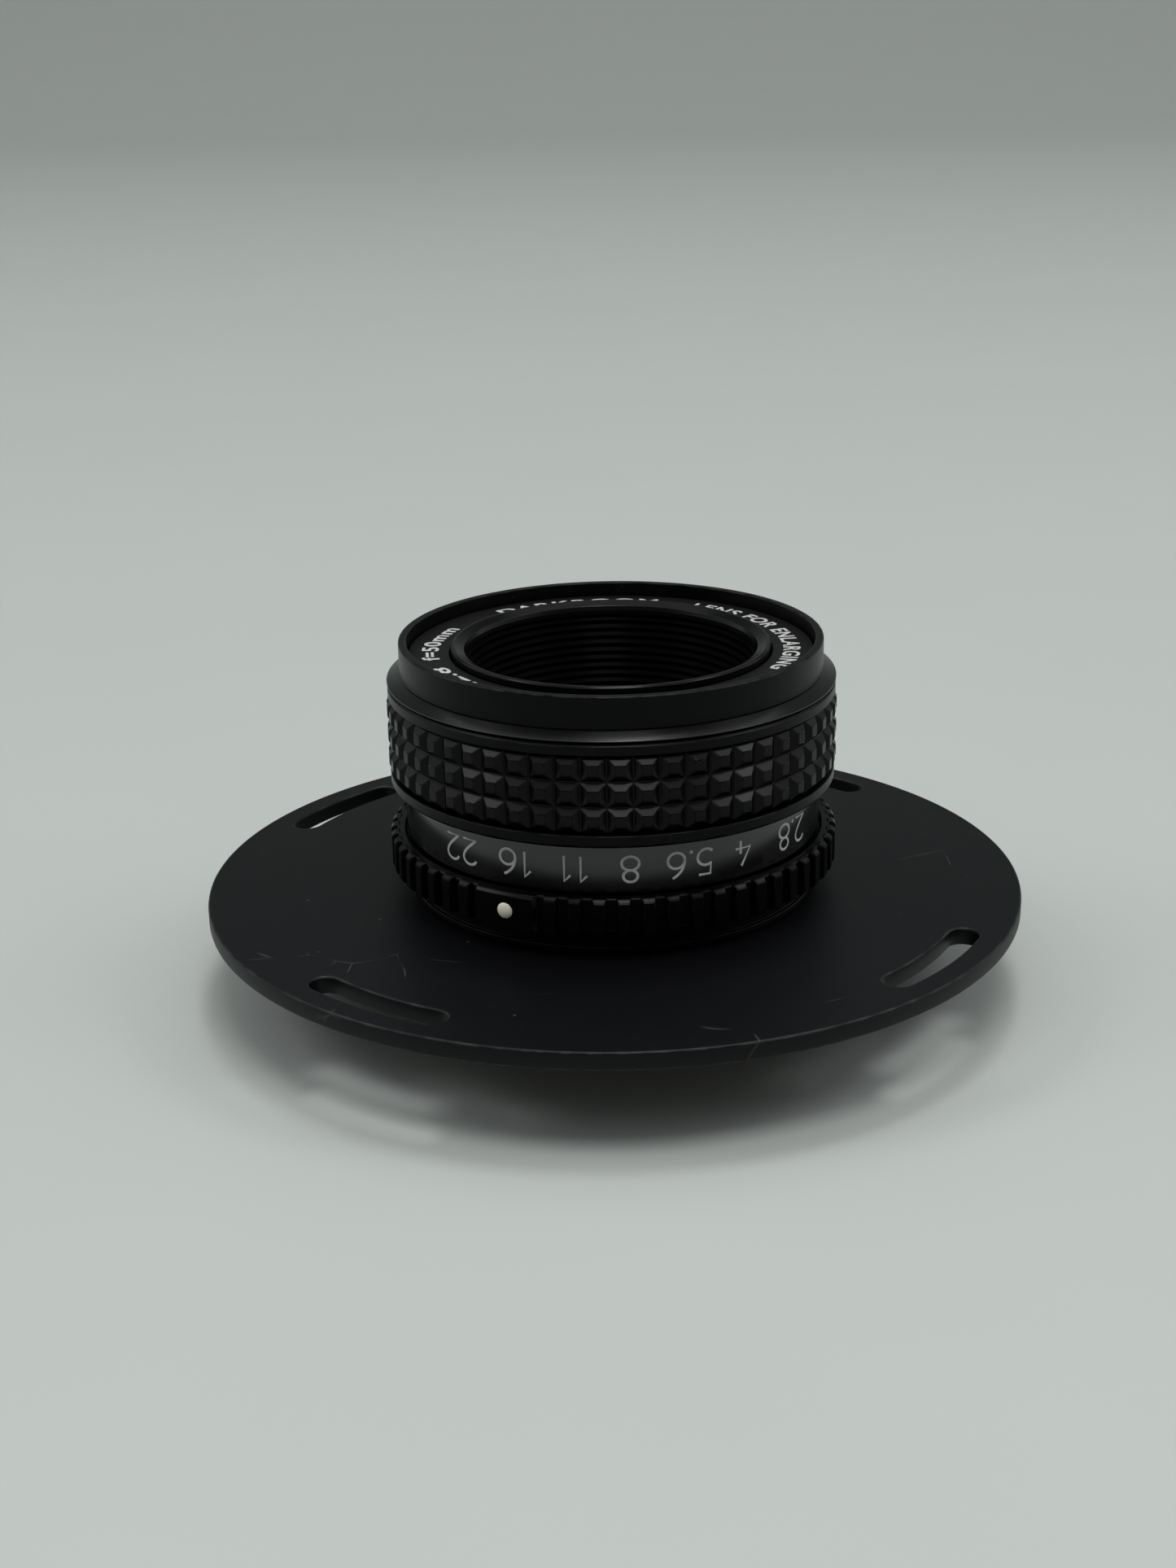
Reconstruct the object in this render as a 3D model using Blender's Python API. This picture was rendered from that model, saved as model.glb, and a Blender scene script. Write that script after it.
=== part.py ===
"""Enlarger lens, 50 mm f/2.8 size, seated in a slotted round lens board.

Frame: origin on the resting plane at the lens axis, +Z towards the front glass, -Y towards the
index bead's side.  Lengths below are in millimetres and are turned into metres by MM.
Angles are in degrees, counted from +X towards +Y.
"""

import math

import bmesh
import bpy
from mathutils import Matrix, Vector

MM = 0.001

# Facets of the turned pieces
OUTER_STEPS = 48
INNER_STEPS = 36
GLASS_STEPS = 24
BOARD_STEPS = 64

# Lens board: a disc with four arc slots
BOARD_R = 46.0
BOARD_LOW, BOARD_TOP = 10.0, 12.0
BOARD_BORE_R = 19.75
SLOT_INNER_R, SLOT_OUTER_R = 39.97, 43.30
SLOT_HALF_ANGLE = 9.83
SLOT_CENTRES = (-126.0, -36.0, 54.0, 144.0)

# Fixed lens body
THREAD_R = 19.45
FLANGE_R, SHOULDER_R, BARREL_R = 22.8, 22.4, 21.8
FLANGE_LOW, FLANGE_TOP, SHOULDER_TOP = 12.25, 12.85, 14.8
CHAMBER_R = 17.3
REAR_BORE_R = 14.1
BARREL_LOW, BARREL_TOP = 5.0, 25.5
CHAMBER_FLOOR = 15.4

# Notched index ring and its bead
INDEX_R = 25.15
INDEX_LOW, INDEX_TOP = 15.0, 19.05
NOTCH_COUNT = 60
NOTCH_DEPTH = 0.7
NOTCH_ANGLE = -90.6
PAD_ANGLE = -117.6
PAD_HALF_WIDTH = 7.6
BEAD_R = 0.92
BEAD_Z = 17.05

# Aperture ring: travel from 2.8 to 22 with 16 at the bead when at rest
GRIP_R = 24.85
GRIP_BORE_R = 22.0
GRIP_LOW, GRIP_TOP = 19.25, 36.0
BAND_R = 23.25
RUBBER_R = 25.0
RUBBER_LOW, RUBBER_TOP = 26.3, 34.6
TURN_OPEN, TURN_CLOSED = -83.2, 16.9

# Front shell, name ring and mouth
RIM_R = 23.45
RIM_TOP = 40.67
RIM_BORE_R = 22.55
NAME_LOW, NAME_TOP = 38.2, 39.1
MOUTH_R = 17.7

# Iris: six blades, each in its own layer, turned by a cam ring with spiral slots
BLADE_COUNT = 6
PIVOT_R = 15.0
OPEN_R, CLOSED_R = 7.9, 1.1
BLADE_OUTER_R = 13.6
BLADE_HEEL, BLADE_TAIL = -6.0, 104.0
DRIVE_EAR = 30.0
EAR_R = 0.9
PIN_R = 0.3
BLADE_LOW, BLADE_PITCH, BLADE_THICK = 16.4, 0.2, 0.12
CLOSING = 2 * math.asin((OPEN_R - CLOSED_R) / (2 * PIVOT_R))
BLADE_RATIO = CLOSING / math.radians(TURN_CLOSED - TURN_OPEN)
CAM_SLOT_HALF = 0.45

# Drive screw and click
SCREW_ANGLE = 30.0
SCREW_Z = 22.0
SCREW_R = 0.7
CLICK_ANGLE = 180.0
BALL_R = 0.7

BLACK_ANODISED = ("black_anodised", (0.018, 0.018, 0.020, 1.0), 0.42, 0.6)
BLACK_SATIN = ("black_satin", (0.022, 0.022, 0.024, 1.0), 0.35, 0.2)
BLACK_GLOSS = ("black_gloss", (0.012, 0.012, 0.014, 1.0), 0.15, 0.0)
BLACK_MATTE = ("black_matte", (0.012, 0.012, 0.012, 1.0), 0.75, 0.0)
RUBBER = ("rubber", (0.020, 0.020, 0.020, 1.0), 0.80, 0.0)
CREAM = ("cream_bead", (0.80, 0.76, 0.62, 1.0), 0.40, 0.0)
STEEL = ("steel", (0.45, 0.45, 0.47, 1.0), 0.30, 1.0)
BLADE_STEEL = ("blade_steel", (0.05, 0.05, 0.055, 1.0), 0.50, 0.8)
BRASS = ("brass", (0.55, 0.42, 0.20, 1.0), 0.35, 1.0)
GLASS = ("glass", (0.80, 0.84, 0.88, 1.0), 0.02, 0.0)


def clear_scene():
    for old in list(bpy.data.objects):
        bpy.data.objects.remove(old, do_unlink=True)


def make_material(finish):
    name, colour, roughness, metallic = finish
    material = bpy.data.materials.new(name)
    material.use_nodes = True
    shader = material.node_tree.nodes["Principled BSDF"]
    shader.inputs["Base Color"].default_value = colour
    shader.inputs["Roughness"].default_value = roughness
    shader.inputs["Metallic"].default_value = metallic
    if finish is GLASS:
        shader.inputs["Transmission Weight"].default_value = 1.0
    return material


def place(name, form, finish=None):
    """Turn a bmesh in metres into a named object; one with no finish is a hidden cutter."""
    bmesh.ops.recalc_face_normals(form, faces=form.faces)
    mesh = bpy.data.meshes.new(name)
    form.to_mesh(mesh)
    form.free()
    piece = bpy.data.objects.new(name, mesh)
    bpy.context.scene.collection.objects.link(piece)
    if finish is None:
        piece.hide_render = True
        piece.display_type = "WIRE"
    else:
        mesh.materials.append(make_material(finish))
        mesh.shade_smooth()
        mesh.set_sharp_from_angle(angle=math.radians(35))
    return piece


def polar(radius, angle):
    turn = math.radians(angle)
    return Vector((radius * math.cos(turn), radius * math.sin(turn)))


def turned(name, profile, finish, steps, start=0.0):
    """Revolve a closed outline of (radius, height) points about the lens axis."""
    form = bmesh.new()
    rings = []
    for step in range(steps):
        direction = polar(1.0, start + 360.0 * step / steps)
        ring = [form.verts.new((r * MM * direction.x, r * MM * direction.y, z * MM))
                for r, z in profile]
        rings.append(ring)
    for step, ring in enumerate(rings):
        following = rings[(step + 1) % steps]
        for i in range(len(profile)):
            j = (i + 1) % len(profile)
            form.faces.new((ring[i], ring[j], following[j], following[i]))
    return place(name, form, finish)


def prism(name, outline, low, high, finish=None):
    """Raise a flat outline from one height to another."""
    form = bmesh.new()
    base = [form.verts.new((p.x * MM, p.y * MM, low * MM)) for p in outline]
    floor = form.faces.new(base)
    raised = bmesh.ops.extrude_face_region(form, geom=[floor])["geom"]
    lift = [v for v in raised if isinstance(v, bmesh.types.BMVert)]
    bmesh.ops.translate(form, verts=lift, vec=(0.0, 0.0, (high - low) * MM))
    return place(name, form, finish)


def rod(name, start, end, radius, finish=None, sides=10):
    """A straight round bar between two points in millimetres."""
    start, end = Vector(start) * MM, Vector(end) * MM
    along = end - start
    turn = along.to_track_quat("Z", "Y").to_matrix().to_4x4()
    form = bmesh.new()
    bmesh.ops.create_cone(form, cap_ends=True, segments=sides, radius1=radius * MM,
                          radius2=radius * MM, depth=along.length,
                          matrix=Matrix.Translation((start + end) / 2) @ turn)
    return place(name, form, finish)


def boolean(piece, other, operation="DIFFERENCE"):
    modifier = piece.modifiers.new(other.name, "BOOLEAN")
    modifier.operation = operation
    modifier.object = other


def arc(radius, first, last, count):
    return [polar(radius, first + (last - first) * i / (count - 1)) for i in range(count)]


def arc_slot(name, inner_r, outer_r, centre, half_angle, low, high, count=6):
    """Cutter for a curved slot with round ends."""
    middle_r, half_width = (inner_r + outer_r) / 2, (outer_r - inner_r) / 2
    outline = arc(outer_r, centre - half_angle, centre + half_angle, count)
    for side, centre_angle in ((1, centre + half_angle), (-1, centre - half_angle)):
        cap = polar(middle_r, centre_angle)
        first = centre_angle if side > 0 else centre_angle + 180
        outline += [cap + polar(half_width, first + 36 * i) for i in range(1, 5)]
        if side > 0:
            outline += arc(inner_r, centre + half_angle, centre - half_angle, count)
    return prism(name, outline, low, high)


def lens_board():
    board = turned("lens_board", [
        (BOARD_BORE_R, BOARD_LOW), (BOARD_R - 0.2, BOARD_LOW), (BOARD_R, BOARD_LOW + 0.2),
        (BOARD_R, BOARD_TOP - 0.3), (BOARD_R - 0.3, BOARD_TOP), (BOARD_BORE_R, BOARD_TOP),
    ], BLACK_ANODISED, BOARD_STEPS)
    for number, centre in enumerate(SLOT_CENTRES, 1):
        boolean(board, arc_slot(f"slot_cutter_{number}", SLOT_INNER_R, SLOT_OUTER_R, centre,
                                SLOT_HALF_ANGLE, BOARD_LOW - 1, BOARD_TOP + 1))


def jam_ring():
    inner_r, outer_r, low, high = 19.9, 24.6, 7.0, 9.7
    notch_depth, notch_half = 1.2, 1.5
    ring = turned("jam_ring", [
        (inner_r, low), (outer_r, low), (outer_r, high), (inner_r, high),
    ], BRASS, OUTER_STEPS)
    for number in range(4):
        centre = 45.0 + 90.0 * number
        along, across = polar(1.0, centre), polar(1.0, centre + 90.0)
        middle = along * (outer_r + inner_r) / 2
        corners = [(-5, -1), (5, -1), (5, 1), (-5, 1)]
        outline = [middle + along * a + across * (b * notch_half) for a, b in corners]
        boolean(ring, prism(f"notch_cutter_{number + 1}", outline, low - 1, low + notch_depth))


def main_barrel():
    barrel = turned("main_barrel", [
        (REAR_BORE_R, BARREL_LOW), (THREAD_R, BARREL_LOW), (THREAD_R, FLANGE_LOW),
        (FLANGE_R, FLANGE_LOW), (FLANGE_R, FLANGE_TOP), (SHOULDER_R, FLANGE_TOP),
        (SHOULDER_R, SHOULDER_TOP), (BARREL_R, SHOULDER_TOP), (BARREL_R, BARREL_TOP),
        (CHAMBER_R, BARREL_TOP), (CHAMBER_R, CHAMBER_FLOOR), (REAR_BORE_R, CHAMBER_FLOOR),
    ], BLACK_SATIN, OUTER_STEPS)
    margin = math.degrees((SCREW_R + 0.4) / CHAMBER_R)
    first, last = SCREW_ANGLE + TURN_OPEN - margin, SCREW_ANGLE + TURN_CLOSED + margin
    window = arc(BARREL_R + 2, first, last, 16) + arc(CHAMBER_R - 1, last, first, 16)
    boolean(barrel, prism("travel_window", window, SCREW_Z - 1.0, SCREW_Z + 1.0))
    seat, mouth = polar(18.0, CLICK_ANGLE), polar(BARREL_R + 2, CLICK_ANGLE)
    boolean(barrel, rod("click_bore", (*seat, SCREW_Z), (*mouth, SCREW_Z), 0.85))


def index_ring():
    """Ring with 60 notches, left out over a smooth pad that holds the bead."""
    bore_r, chamfer = 22.05, 0.35
    columns = 2 * NOTCH_COUNT
    form = bmesh.new()
    rings = []
    for column in range(columns):
        angle = NOTCH_ANGLE + 360.0 * (column - 1) / columns
        from_pad = abs((angle - PAD_ANGLE + 180) % 360 - 180)
        notched = column % 2 == 1 and from_pad > PAD_HALF_WIDTH
        edge_r = INDEX_R - (NOTCH_DEPTH if notched else 0.0)
        profile = [(bore_r, INDEX_LOW), (edge_r, INDEX_LOW), (edge_r, INDEX_TOP - chamfer),
                   (edge_r - chamfer, INDEX_TOP), (bore_r, INDEX_TOP)]
        spots = [(polar(r * MM, angle), z * MM) for r, z in profile]
        rings.append([form.verts.new((spot.x, spot.y, z)) for spot, z in spots])
    for column, ring in enumerate(rings):
        following = rings[(column + 1) % columns]
        for i in range(len(ring)):
            j = (i + 1) % len(ring)
            form.faces.new((ring[i], ring[j], following[j], following[i]))
    ring = place("index_ring", form, BLACK_SATIN)
    inner, outer = polar(23.6, PAD_ANGLE), polar(INDEX_R + 2, PAD_ANGLE)
    boolean(ring, rod("bead_bore", (*inner, BEAD_Z), (*outer, BEAD_Z), BEAD_R + 0.08))


def index_bead():
    inner, outer = polar(23.7, PAD_ANGLE), polar(INDEX_R + 0.1, PAD_ANGLE)
    rod("index_bead", (*inner, BEAD_Z), (*outer, BEAD_Z), BEAD_R, CREAM)


def aperture_ring():
    ring = turned("grip_ring", [
        (GRIP_BORE_R, GRIP_LOW), (22.75, GRIP_LOW), (22.75, 24.7), (GRIP_R, 24.7),
        (GRIP_R, 26.1), (23.4, 26.1), (23.4, 34.8), (GRIP_R, 34.8), (GRIP_R, GRIP_TOP),
        (GRIP_BORE_R, GRIP_TOP),
    ], BLACK_SATIN, OUTER_STEPS)
    inner, outer = polar(GRIP_BORE_R - 1, SCREW_ANGLE), polar(23.2, SCREW_ANGLE)
    boolean(ring, rod("screw_bore", (*inner, SCREW_Z), (*outer, SCREW_Z), SCREW_R + 0.2))
    turned("scale_band", [
        (22.9, GRIP_LOW), (BAND_R, GRIP_LOW), (BAND_R, 24.5), (22.9, 24.5),
    ], BLACK_GLOSS, OUTER_STEPS)
    turned("rubber_grip", [
        (23.55, RUBBER_LOW), (RUBBER_R, RUBBER_LOW), (RUBBER_R, RUBBER_TOP),
        (23.55, RUBBER_TOP),
    ], RUBBER, OUTER_STEPS)


def drive_screw():
    inner, outer = polar(16.3, SCREW_ANGLE), polar(22.65, SCREW_ANGLE)
    rod("drive_screw", (*inner, SCREW_Z), (*outer, SCREW_Z), SCREW_R, STEEL)


def click():
    ball = bmesh.new()
    spot = polar(BARREL_R - 0.6, CLICK_ANGLE)
    bmesh.ops.create_uvsphere(ball, u_segments=12, v_segments=8, radius=BALL_R * MM,
                              matrix=Matrix.Translation(Vector((*spot, SCREW_Z)) * MM))
    place("click_ball", ball, STEEL)
    turns, per_turn, coil_r, wire_r = 5, 10, 0.55, 0.1
    first_r, last_r = 18.25, BARREL_R - 0.6 - BALL_R - 0.2
    points = []
    for i in range(turns * per_turn + 1):
        share = i / (turns * per_turn)
        around = 2 * math.pi * turns * share
        out = polar(first_r + (last_r - first_r) * share, CLICK_ANGLE)
        side = polar(coil_r * math.cos(around), CLICK_ANGLE + 90)
        points.append((out.x + side.x, out.y + side.y, SCREW_Z + coil_r * math.sin(around)))
    curve = bpy.data.curves.new("click_spring", "CURVE")
    curve.dimensions = "3D"
    curve.bevel_depth = wire_r * MM
    curve.bevel_resolution = 0
    curve.use_fill_caps = True
    wire = curve.splines.new("POLY")
    wire.points.add(len(points) - 1)
    for point, (x, y, z) in zip(wire.points, points):
        point.co = (x * MM, y * MM, z * MM, 1.0)
    curve.materials.append(make_material(STEEL))
    spring = bpy.data.objects.new("click_spring", curve)
    bpy.context.scene.collection.objects.link(spring)


def front_shell():
    turned("front_barrel", [
        (19.3, 25.8), (21.6, 25.8), (21.6, 36.3), (24.9, 36.3), (24.9, 36.4), (RIM_R, 37.1),
        (RIM_R, RIM_TOP - 0.2), (RIM_R - 0.2, RIM_TOP), (RIM_BORE_R, RIM_TOP),
        (RIM_BORE_R, 38.0), (17.95, 38.0), (17.95, 37.2), (19.3, 37.2),
    ], BLACK_SATIN, OUTER_STEPS)
    turned("name_ring", [
        (17.9, NAME_LOW), (22.4, NAME_LOW), (22.4, NAME_TOP), (17.9, NAME_TOP),
    ], BLACK_MATTE, OUTER_STEPS)
    turned("front_baffle", [
        (13.7, 29.3), (MOUTH_R, 29.3), (MOUTH_R, 39.75), (17.5, 39.95), (17.25, 39.95),
        (16.25, 39.5),
    ], BLACK_MATTE, OUTER_STEPS)


def front_cell():
    turned("front_cell", [
        (8.6, 19.3), (12.2, 19.3), (12.2, 24.3), (16.9, 24.3), (16.9, 25.8), (18.9, 25.8),
        (18.9, 27.0), (16.9, 27.0), (16.9, 29.0), (11.55, 29.0), (11.55, 25.2), (9.95, 25.2),
        (9.95, 20.2), (8.6, 20.2),
    ], BLACK_MATTE, INNER_STEPS)
    turned("front_spacer", [
        (9.4, 24.85), (9.85, 24.85), (9.85, 25.4), (11.4, 25.4), (11.4, 26.0), (9.4, 26.0),
    ], BLACK_MATTE, INNER_STEPS)
    turned("front_retainer", [
        (10.6, 27.95), (11.4, 27.95), (11.4, 28.9), (10.9, 28.9),
    ], BLACK_SATIN, INNER_STEPS)


def rear_cell():
    turned("rear_cell", [
        (13.0, 0.0), (16.2, 0.0), (16.2, 4.7), (13.9, 4.7), (13.9, 15.3), (9.35, 15.3),
        (9.35, 7.7), (8.4, 7.7), (8.4, 6.9), (10.4, 6.9), (10.4, 2.2),
    ], BLACK_SATIN, INNER_STEPS)
    turned("rear_spacer", [
        (8.3, 7.9), (9.2, 7.9), (9.2, 10.2), (8.7, 10.2),
    ], BLACK_MATTE, INNER_STEPS)
    turned("rear_retainer", [
        (9.4, 3.3), (10.2, 3.3), (10.2, 4.7), (9.4, 4.7),
    ], BLACK_SATIN, INNER_STEPS)


def sphere_face(vertex, curvature_r, radius, steps=3):
    """Points from the axis out along a lens surface; a negative radius bulges upwards."""
    points = []
    for i in range(steps + 1):
        r = radius * i / steps
        sag = abs(curvature_r) - math.sqrt(curvature_r ** 2 - r ** 2)
        points.append((r, vertex + math.copysign(sag, curvature_r)))
    return points


def glass(name, lower, upper, rim):
    """Solid of revolution between two surfaces that run from the axis to the rim."""
    form = bmesh.new()
    outline = lower + [p for p in rim if p not in (lower[-1], upper[-1])] + upper[::-1]
    inner = outline[1:-1]
    bottom = form.verts.new((0.0, 0.0, outline[0][1] * MM))
    top = form.verts.new((0.0, 0.0, outline[-1][1] * MM))
    rings = []
    for step in range(GLASS_STEPS):
        direction = polar(1.0, 360.0 * step / GLASS_STEPS)
        rings.append([form.verts.new((r * MM * direction.x, r * MM * direction.y, z * MM))
                      for r, z in inner])
    for step, ring in enumerate(rings):
        following = rings[(step + 1) % GLASS_STEPS]
        form.faces.new((bottom, ring[0], following[0]))
        form.faces.new((top, following[-1], ring[-1]))
        for i in range(len(inner) - 1):
            form.faces.new((ring[i], ring[i + 1], following[i + 1], following[i]))
    return place(name, form, GLASS)


def glass_elements():
    """Six elements in four groups, three on each side of the iris."""
    cement = 0.08
    front_r, doublet_r, rear_r, last_r = 11.4, 9.8, 9.2, 10.2
    glass("front_element", sphere_face(26.9, -90, front_r), sphere_face(29.3, -36, front_r), [])
    glass("front_doublet_outer", sphere_face(24.1, -80, doublet_r),
          sphere_face(26.7, -22, doublet_r), [])
    hollow = sphere_face(22.94, -14, 8.0)
    glass("front_doublet_inner", hollow, sphere_face(24.1 - cement, -80, doublet_r),
          [(doublet_r, hollow[-1][1])])
    hollow = sphere_face(12.45, 13, 7.6)
    glass("rear_doublet_inner", [(0.0, 11.35), (rear_r, 11.35)], hollow,
          [(rear_r, hollow[-1][1])])
    glass("rear_doublet_outer", sphere_face(7.9, 18, rear_r),
          [(0.0, 11.35 - cement), (rear_r, 11.35 - cement)], [])
    glass("rear_element", sphere_face(3.2, 30, last_r), sphere_face(7.5, -60, last_r), [])


def iris_seats():
    plate = turned("iris_plate", [(8.4, 15.6), (17.1, 15.6), (17.1, 16.2), (8.4, 16.2)],
                   BLACK_MATTE, INNER_STEPS, start=3.0)
    for blade in range(BLADE_COUNT):
        spot = polar(PIVOT_R, 360.0 * blade / BLADE_COUNT)
        boolean(plate, rod(f"pivot_cutter_{blade + 1}", (*spot, 15.0), (*spot, 17.0), 0.45,
                           sides=8))
    turned("iris_retainer", [(12.7, 23.2), (17.1, 23.2), (17.1, 24.0), (12.7, 24.0)],
           BLACK_MATTE, INNER_STEPS)


def about_pivot(point, closing):
    """Where a point of the first blade lies once the blade has turned by closing radians."""
    pivot = Vector((PIVOT_R, 0.0))
    return Matrix.Rotation(closing, 2) @ (point - pivot) + pivot


def closing_at(turn):
    return BLADE_RATIO * math.radians(turn - TURN_OPEN)


def cam_ring():
    """Cup-shaped ring; each slot is the path of a drive pin seen from the turning ring."""
    cup = turned("cam_ring", [
        (8.6, 17.8), (17.0, 17.8), (17.0, 23.0), (16.1, 23.0), (16.1, 18.6), (8.6, 18.6),
    ], BRASS, OUTER_STEPS)
    steps = 12
    path = []
    for i in range(steps + 1):
        turn = TURN_OPEN - 1.0 + (TURN_CLOSED - TURN_OPEN + 2.0) * i / steps
        pin = about_pivot(polar(PIVOT_R, DRIVE_EAR), closing_at(turn))
        path.append(Matrix.Rotation(-math.radians(turn), 2) @ pin)
    left, right = [], []
    for i, point in enumerate(path):
        ahead = (path[min(i + 1, steps)] - path[max(i - 1, 0)]).normalized()
        across = Vector((-ahead.y, ahead.x)) * CAM_SLOT_HALF
        left.append(point + across)
        right.append(point - across)
    start = (path[0] - path[1]).normalized() * CAM_SLOT_HALF
    end = (path[-1] - path[-2]).normalized() * CAM_SLOT_HALF
    outline = left + [path[-1] + end] + right[::-1] + [path[0] + start]
    for blade in range(BLADE_COUNT):
        around = Matrix.Rotation(2 * math.pi * blade / BLADE_COUNT, 2)
        boolean(cup, prism(f"cam_slot_{blade + 1}", [around @ p for p in outline], 17.0, 18.9))
    inner, outer = polar(15.8, SCREW_ANGLE), polar(18.0, SCREW_ANGLE)
    boolean(cup, rod("cam_bore", (*inner, SCREW_Z), (*outer, SCREW_Z), SCREW_R + 0.2))


def blade_outline():
    """First blade, wide open: a crescent with an ear at its pivot and one at its drive pin."""
    outline = []
    ear_span = math.degrees(EAR_R / BLADE_OUTER_R)
    for ear in (0.0, DRIVE_EAR):
        centre = polar(PIVOT_R, ear)
        outline += [centre + polar(EAR_R, ear + t) for t in (-90, -45, 0, 45, 90)]
        if ear == 0.0:
            outline += arc(BLADE_OUTER_R, 10.0, 20.0, 3)
    outline += arc(BLADE_OUTER_R, DRIVE_EAR + ear_span + 3, BLADE_TAIL - 12, 7)
    outline += [polar(BLADE_OUTER_R - 1.2, BLADE_TAIL - 4), polar(OPEN_R + 2.2, BLADE_TAIL),
                polar(OPEN_R + 0.6, BLADE_TAIL)]
    outline += arc(OPEN_R, BLADE_TAIL - 3, BLADE_HEEL, 14)
    outline += [polar(OPEN_R + 2, BLADE_HEEL - 1), polar(BLADE_OUTER_R - 1, BLADE_HEEL)]
    return outline


def iris_blades():
    closing = closing_at(0.0)
    outline = [about_pivot(p, closing) for p in blade_outline()]
    pivot = Vector((PIVOT_R, 0.0))
    drive = about_pivot(polar(PIVOT_R, DRIVE_EAR), closing)
    for number in range(BLADE_COUNT):
        low = BLADE_LOW + BLADE_PITCH * number
        high = low + BLADE_THICK
        around = Matrix.Rotation(2 * math.pi * number / BLADE_COUNT, 2)
        name = f"iris_blade_{number + 1}"
        blade = prism(name, [around @ p for p in outline], low, high, BLADE_STEEL)
        foot, head = around @ pivot, around @ drive
        middle = (low + high) / 2
        boolean(blade, rod(name + "_pivot", (*foot, 15.75), (*foot, middle), PIN_R, sides=8),
                "UNION")
        boolean(blade, rod(name + "_drive", (*head, middle), (*head, 18.5), PIN_R, sides=8),
                "UNION")
        hinge = Vector((foot.x, foot.y, middle)) * MM
        blade.data.transform(Matrix.Translation(-hinge))
        blade.location = hinge


def build():
    clear_scene()
    lens_board()
    jam_ring()
    main_barrel()
    index_ring()
    index_bead()
    front_shell()
    front_cell()
    rear_cell()
    glass_elements()
    iris_seats()
    iris_blades()
    cam_ring()
    aperture_ring()
    drive_screw()
    click()


build()
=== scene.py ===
"""Looks of an enlarger lens on its slotted lens board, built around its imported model.

The file is laid out as a Blender add-on: settings, one operator for each piece or group of like
pieces and one for the stage, and a sidebar panel.  Run as a script, it builds them all.
"""

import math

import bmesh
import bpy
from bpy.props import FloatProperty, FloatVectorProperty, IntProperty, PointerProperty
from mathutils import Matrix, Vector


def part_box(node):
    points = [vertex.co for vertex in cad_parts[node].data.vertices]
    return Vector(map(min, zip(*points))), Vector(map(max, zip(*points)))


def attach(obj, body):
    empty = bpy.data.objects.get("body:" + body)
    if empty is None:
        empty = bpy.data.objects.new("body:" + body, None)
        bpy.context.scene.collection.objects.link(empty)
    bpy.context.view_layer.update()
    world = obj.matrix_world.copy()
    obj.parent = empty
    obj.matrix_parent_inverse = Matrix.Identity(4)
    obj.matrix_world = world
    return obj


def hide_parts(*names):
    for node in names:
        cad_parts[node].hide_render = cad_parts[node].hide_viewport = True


bl_info = {
    "name": "Enlarger lens",
    "version": (1, 0, 0),
    "blender": (4, 5, 0),
    "location": "3D View > Sidebar > Lens",
    "description": "Builds an enlarger lens on a slotted lens board around its packed model",
    "category": "Add Mesh",
}

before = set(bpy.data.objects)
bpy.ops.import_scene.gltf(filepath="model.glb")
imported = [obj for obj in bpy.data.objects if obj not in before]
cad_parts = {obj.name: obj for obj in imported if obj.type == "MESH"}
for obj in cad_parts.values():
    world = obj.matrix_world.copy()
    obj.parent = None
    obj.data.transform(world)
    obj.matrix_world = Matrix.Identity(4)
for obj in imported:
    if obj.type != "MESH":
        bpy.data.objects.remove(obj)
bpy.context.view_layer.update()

MM = 0.001
FINE_STEPS = 240
ROUNDING = 0.12 * MM
SHARP_ANGLE = math.radians(32)
FIXED, TURNING = "lens", "aperture"


def span(node):
    """Lowest height, highest height and outer radius of a turned CAD node."""
    low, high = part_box(node)
    return low.z, high.z, (high.x - low.x) / 2


# ---------------------------------------------------------------- settings

def colour_property(name, description, default):
    return FloatVectorProperty(name=name, description=description, subtype="COLOR", size=4,
                               min=0.0, max=1.0, default=(*default, 1.0))


class LensFinishes(bpy.types.PropertyGroup):
    """Colours of the lens's own finishes."""
    satin: colour_property("Satin black", "Paint of the barrel and rings", (0.0014, 0.0014, 0.0018))
    anodised: colour_property("Anodised black", "Dyed oxide of the lens board",
                              (0.0016, 0.0017, 0.0028))
    matte: colour_property("Matte black", "Flat paint of the baffle and cells",
                           (0.0014, 0.0014, 0.0015))
    gloss: colour_property("Gloss black", "Lacquer of the number band", (0.0015, 0.0015, 0.0015))
    rubber: colour_property("Rubber", "Grip sleeve", (0.0018, 0.0018, 0.0020))
    worn: colour_property("Rubbed edge", "Tone where handling polished the black",
                          (0.060, 0.058, 0.054))
    lettering: colour_property("Letters", "Paint in the ring's letters", (0.50, 0.50, 0.49))
    numbers: colour_property("Numbers", "Paint in the aperture numbers", (0.50, 0.51, 0.50))
    bead: colour_property("Bead", "Cream plastic of the index bead", (0.74, 0.70, 0.58))
    brass: colour_property("Brass", "Jam ring and cam ring", (0.42, 0.30, 0.13))
    steel: colour_property("Steel", "Screw, ball and spring", (0.50, 0.50, 0.52))
    blades: colour_property("Blades", "Blackened iris steel", (0.045, 0.045, 0.050))
    glass: colour_property("Glass", "Faint body tint of the elements", (0.93, 0.96, 0.97))


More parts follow.
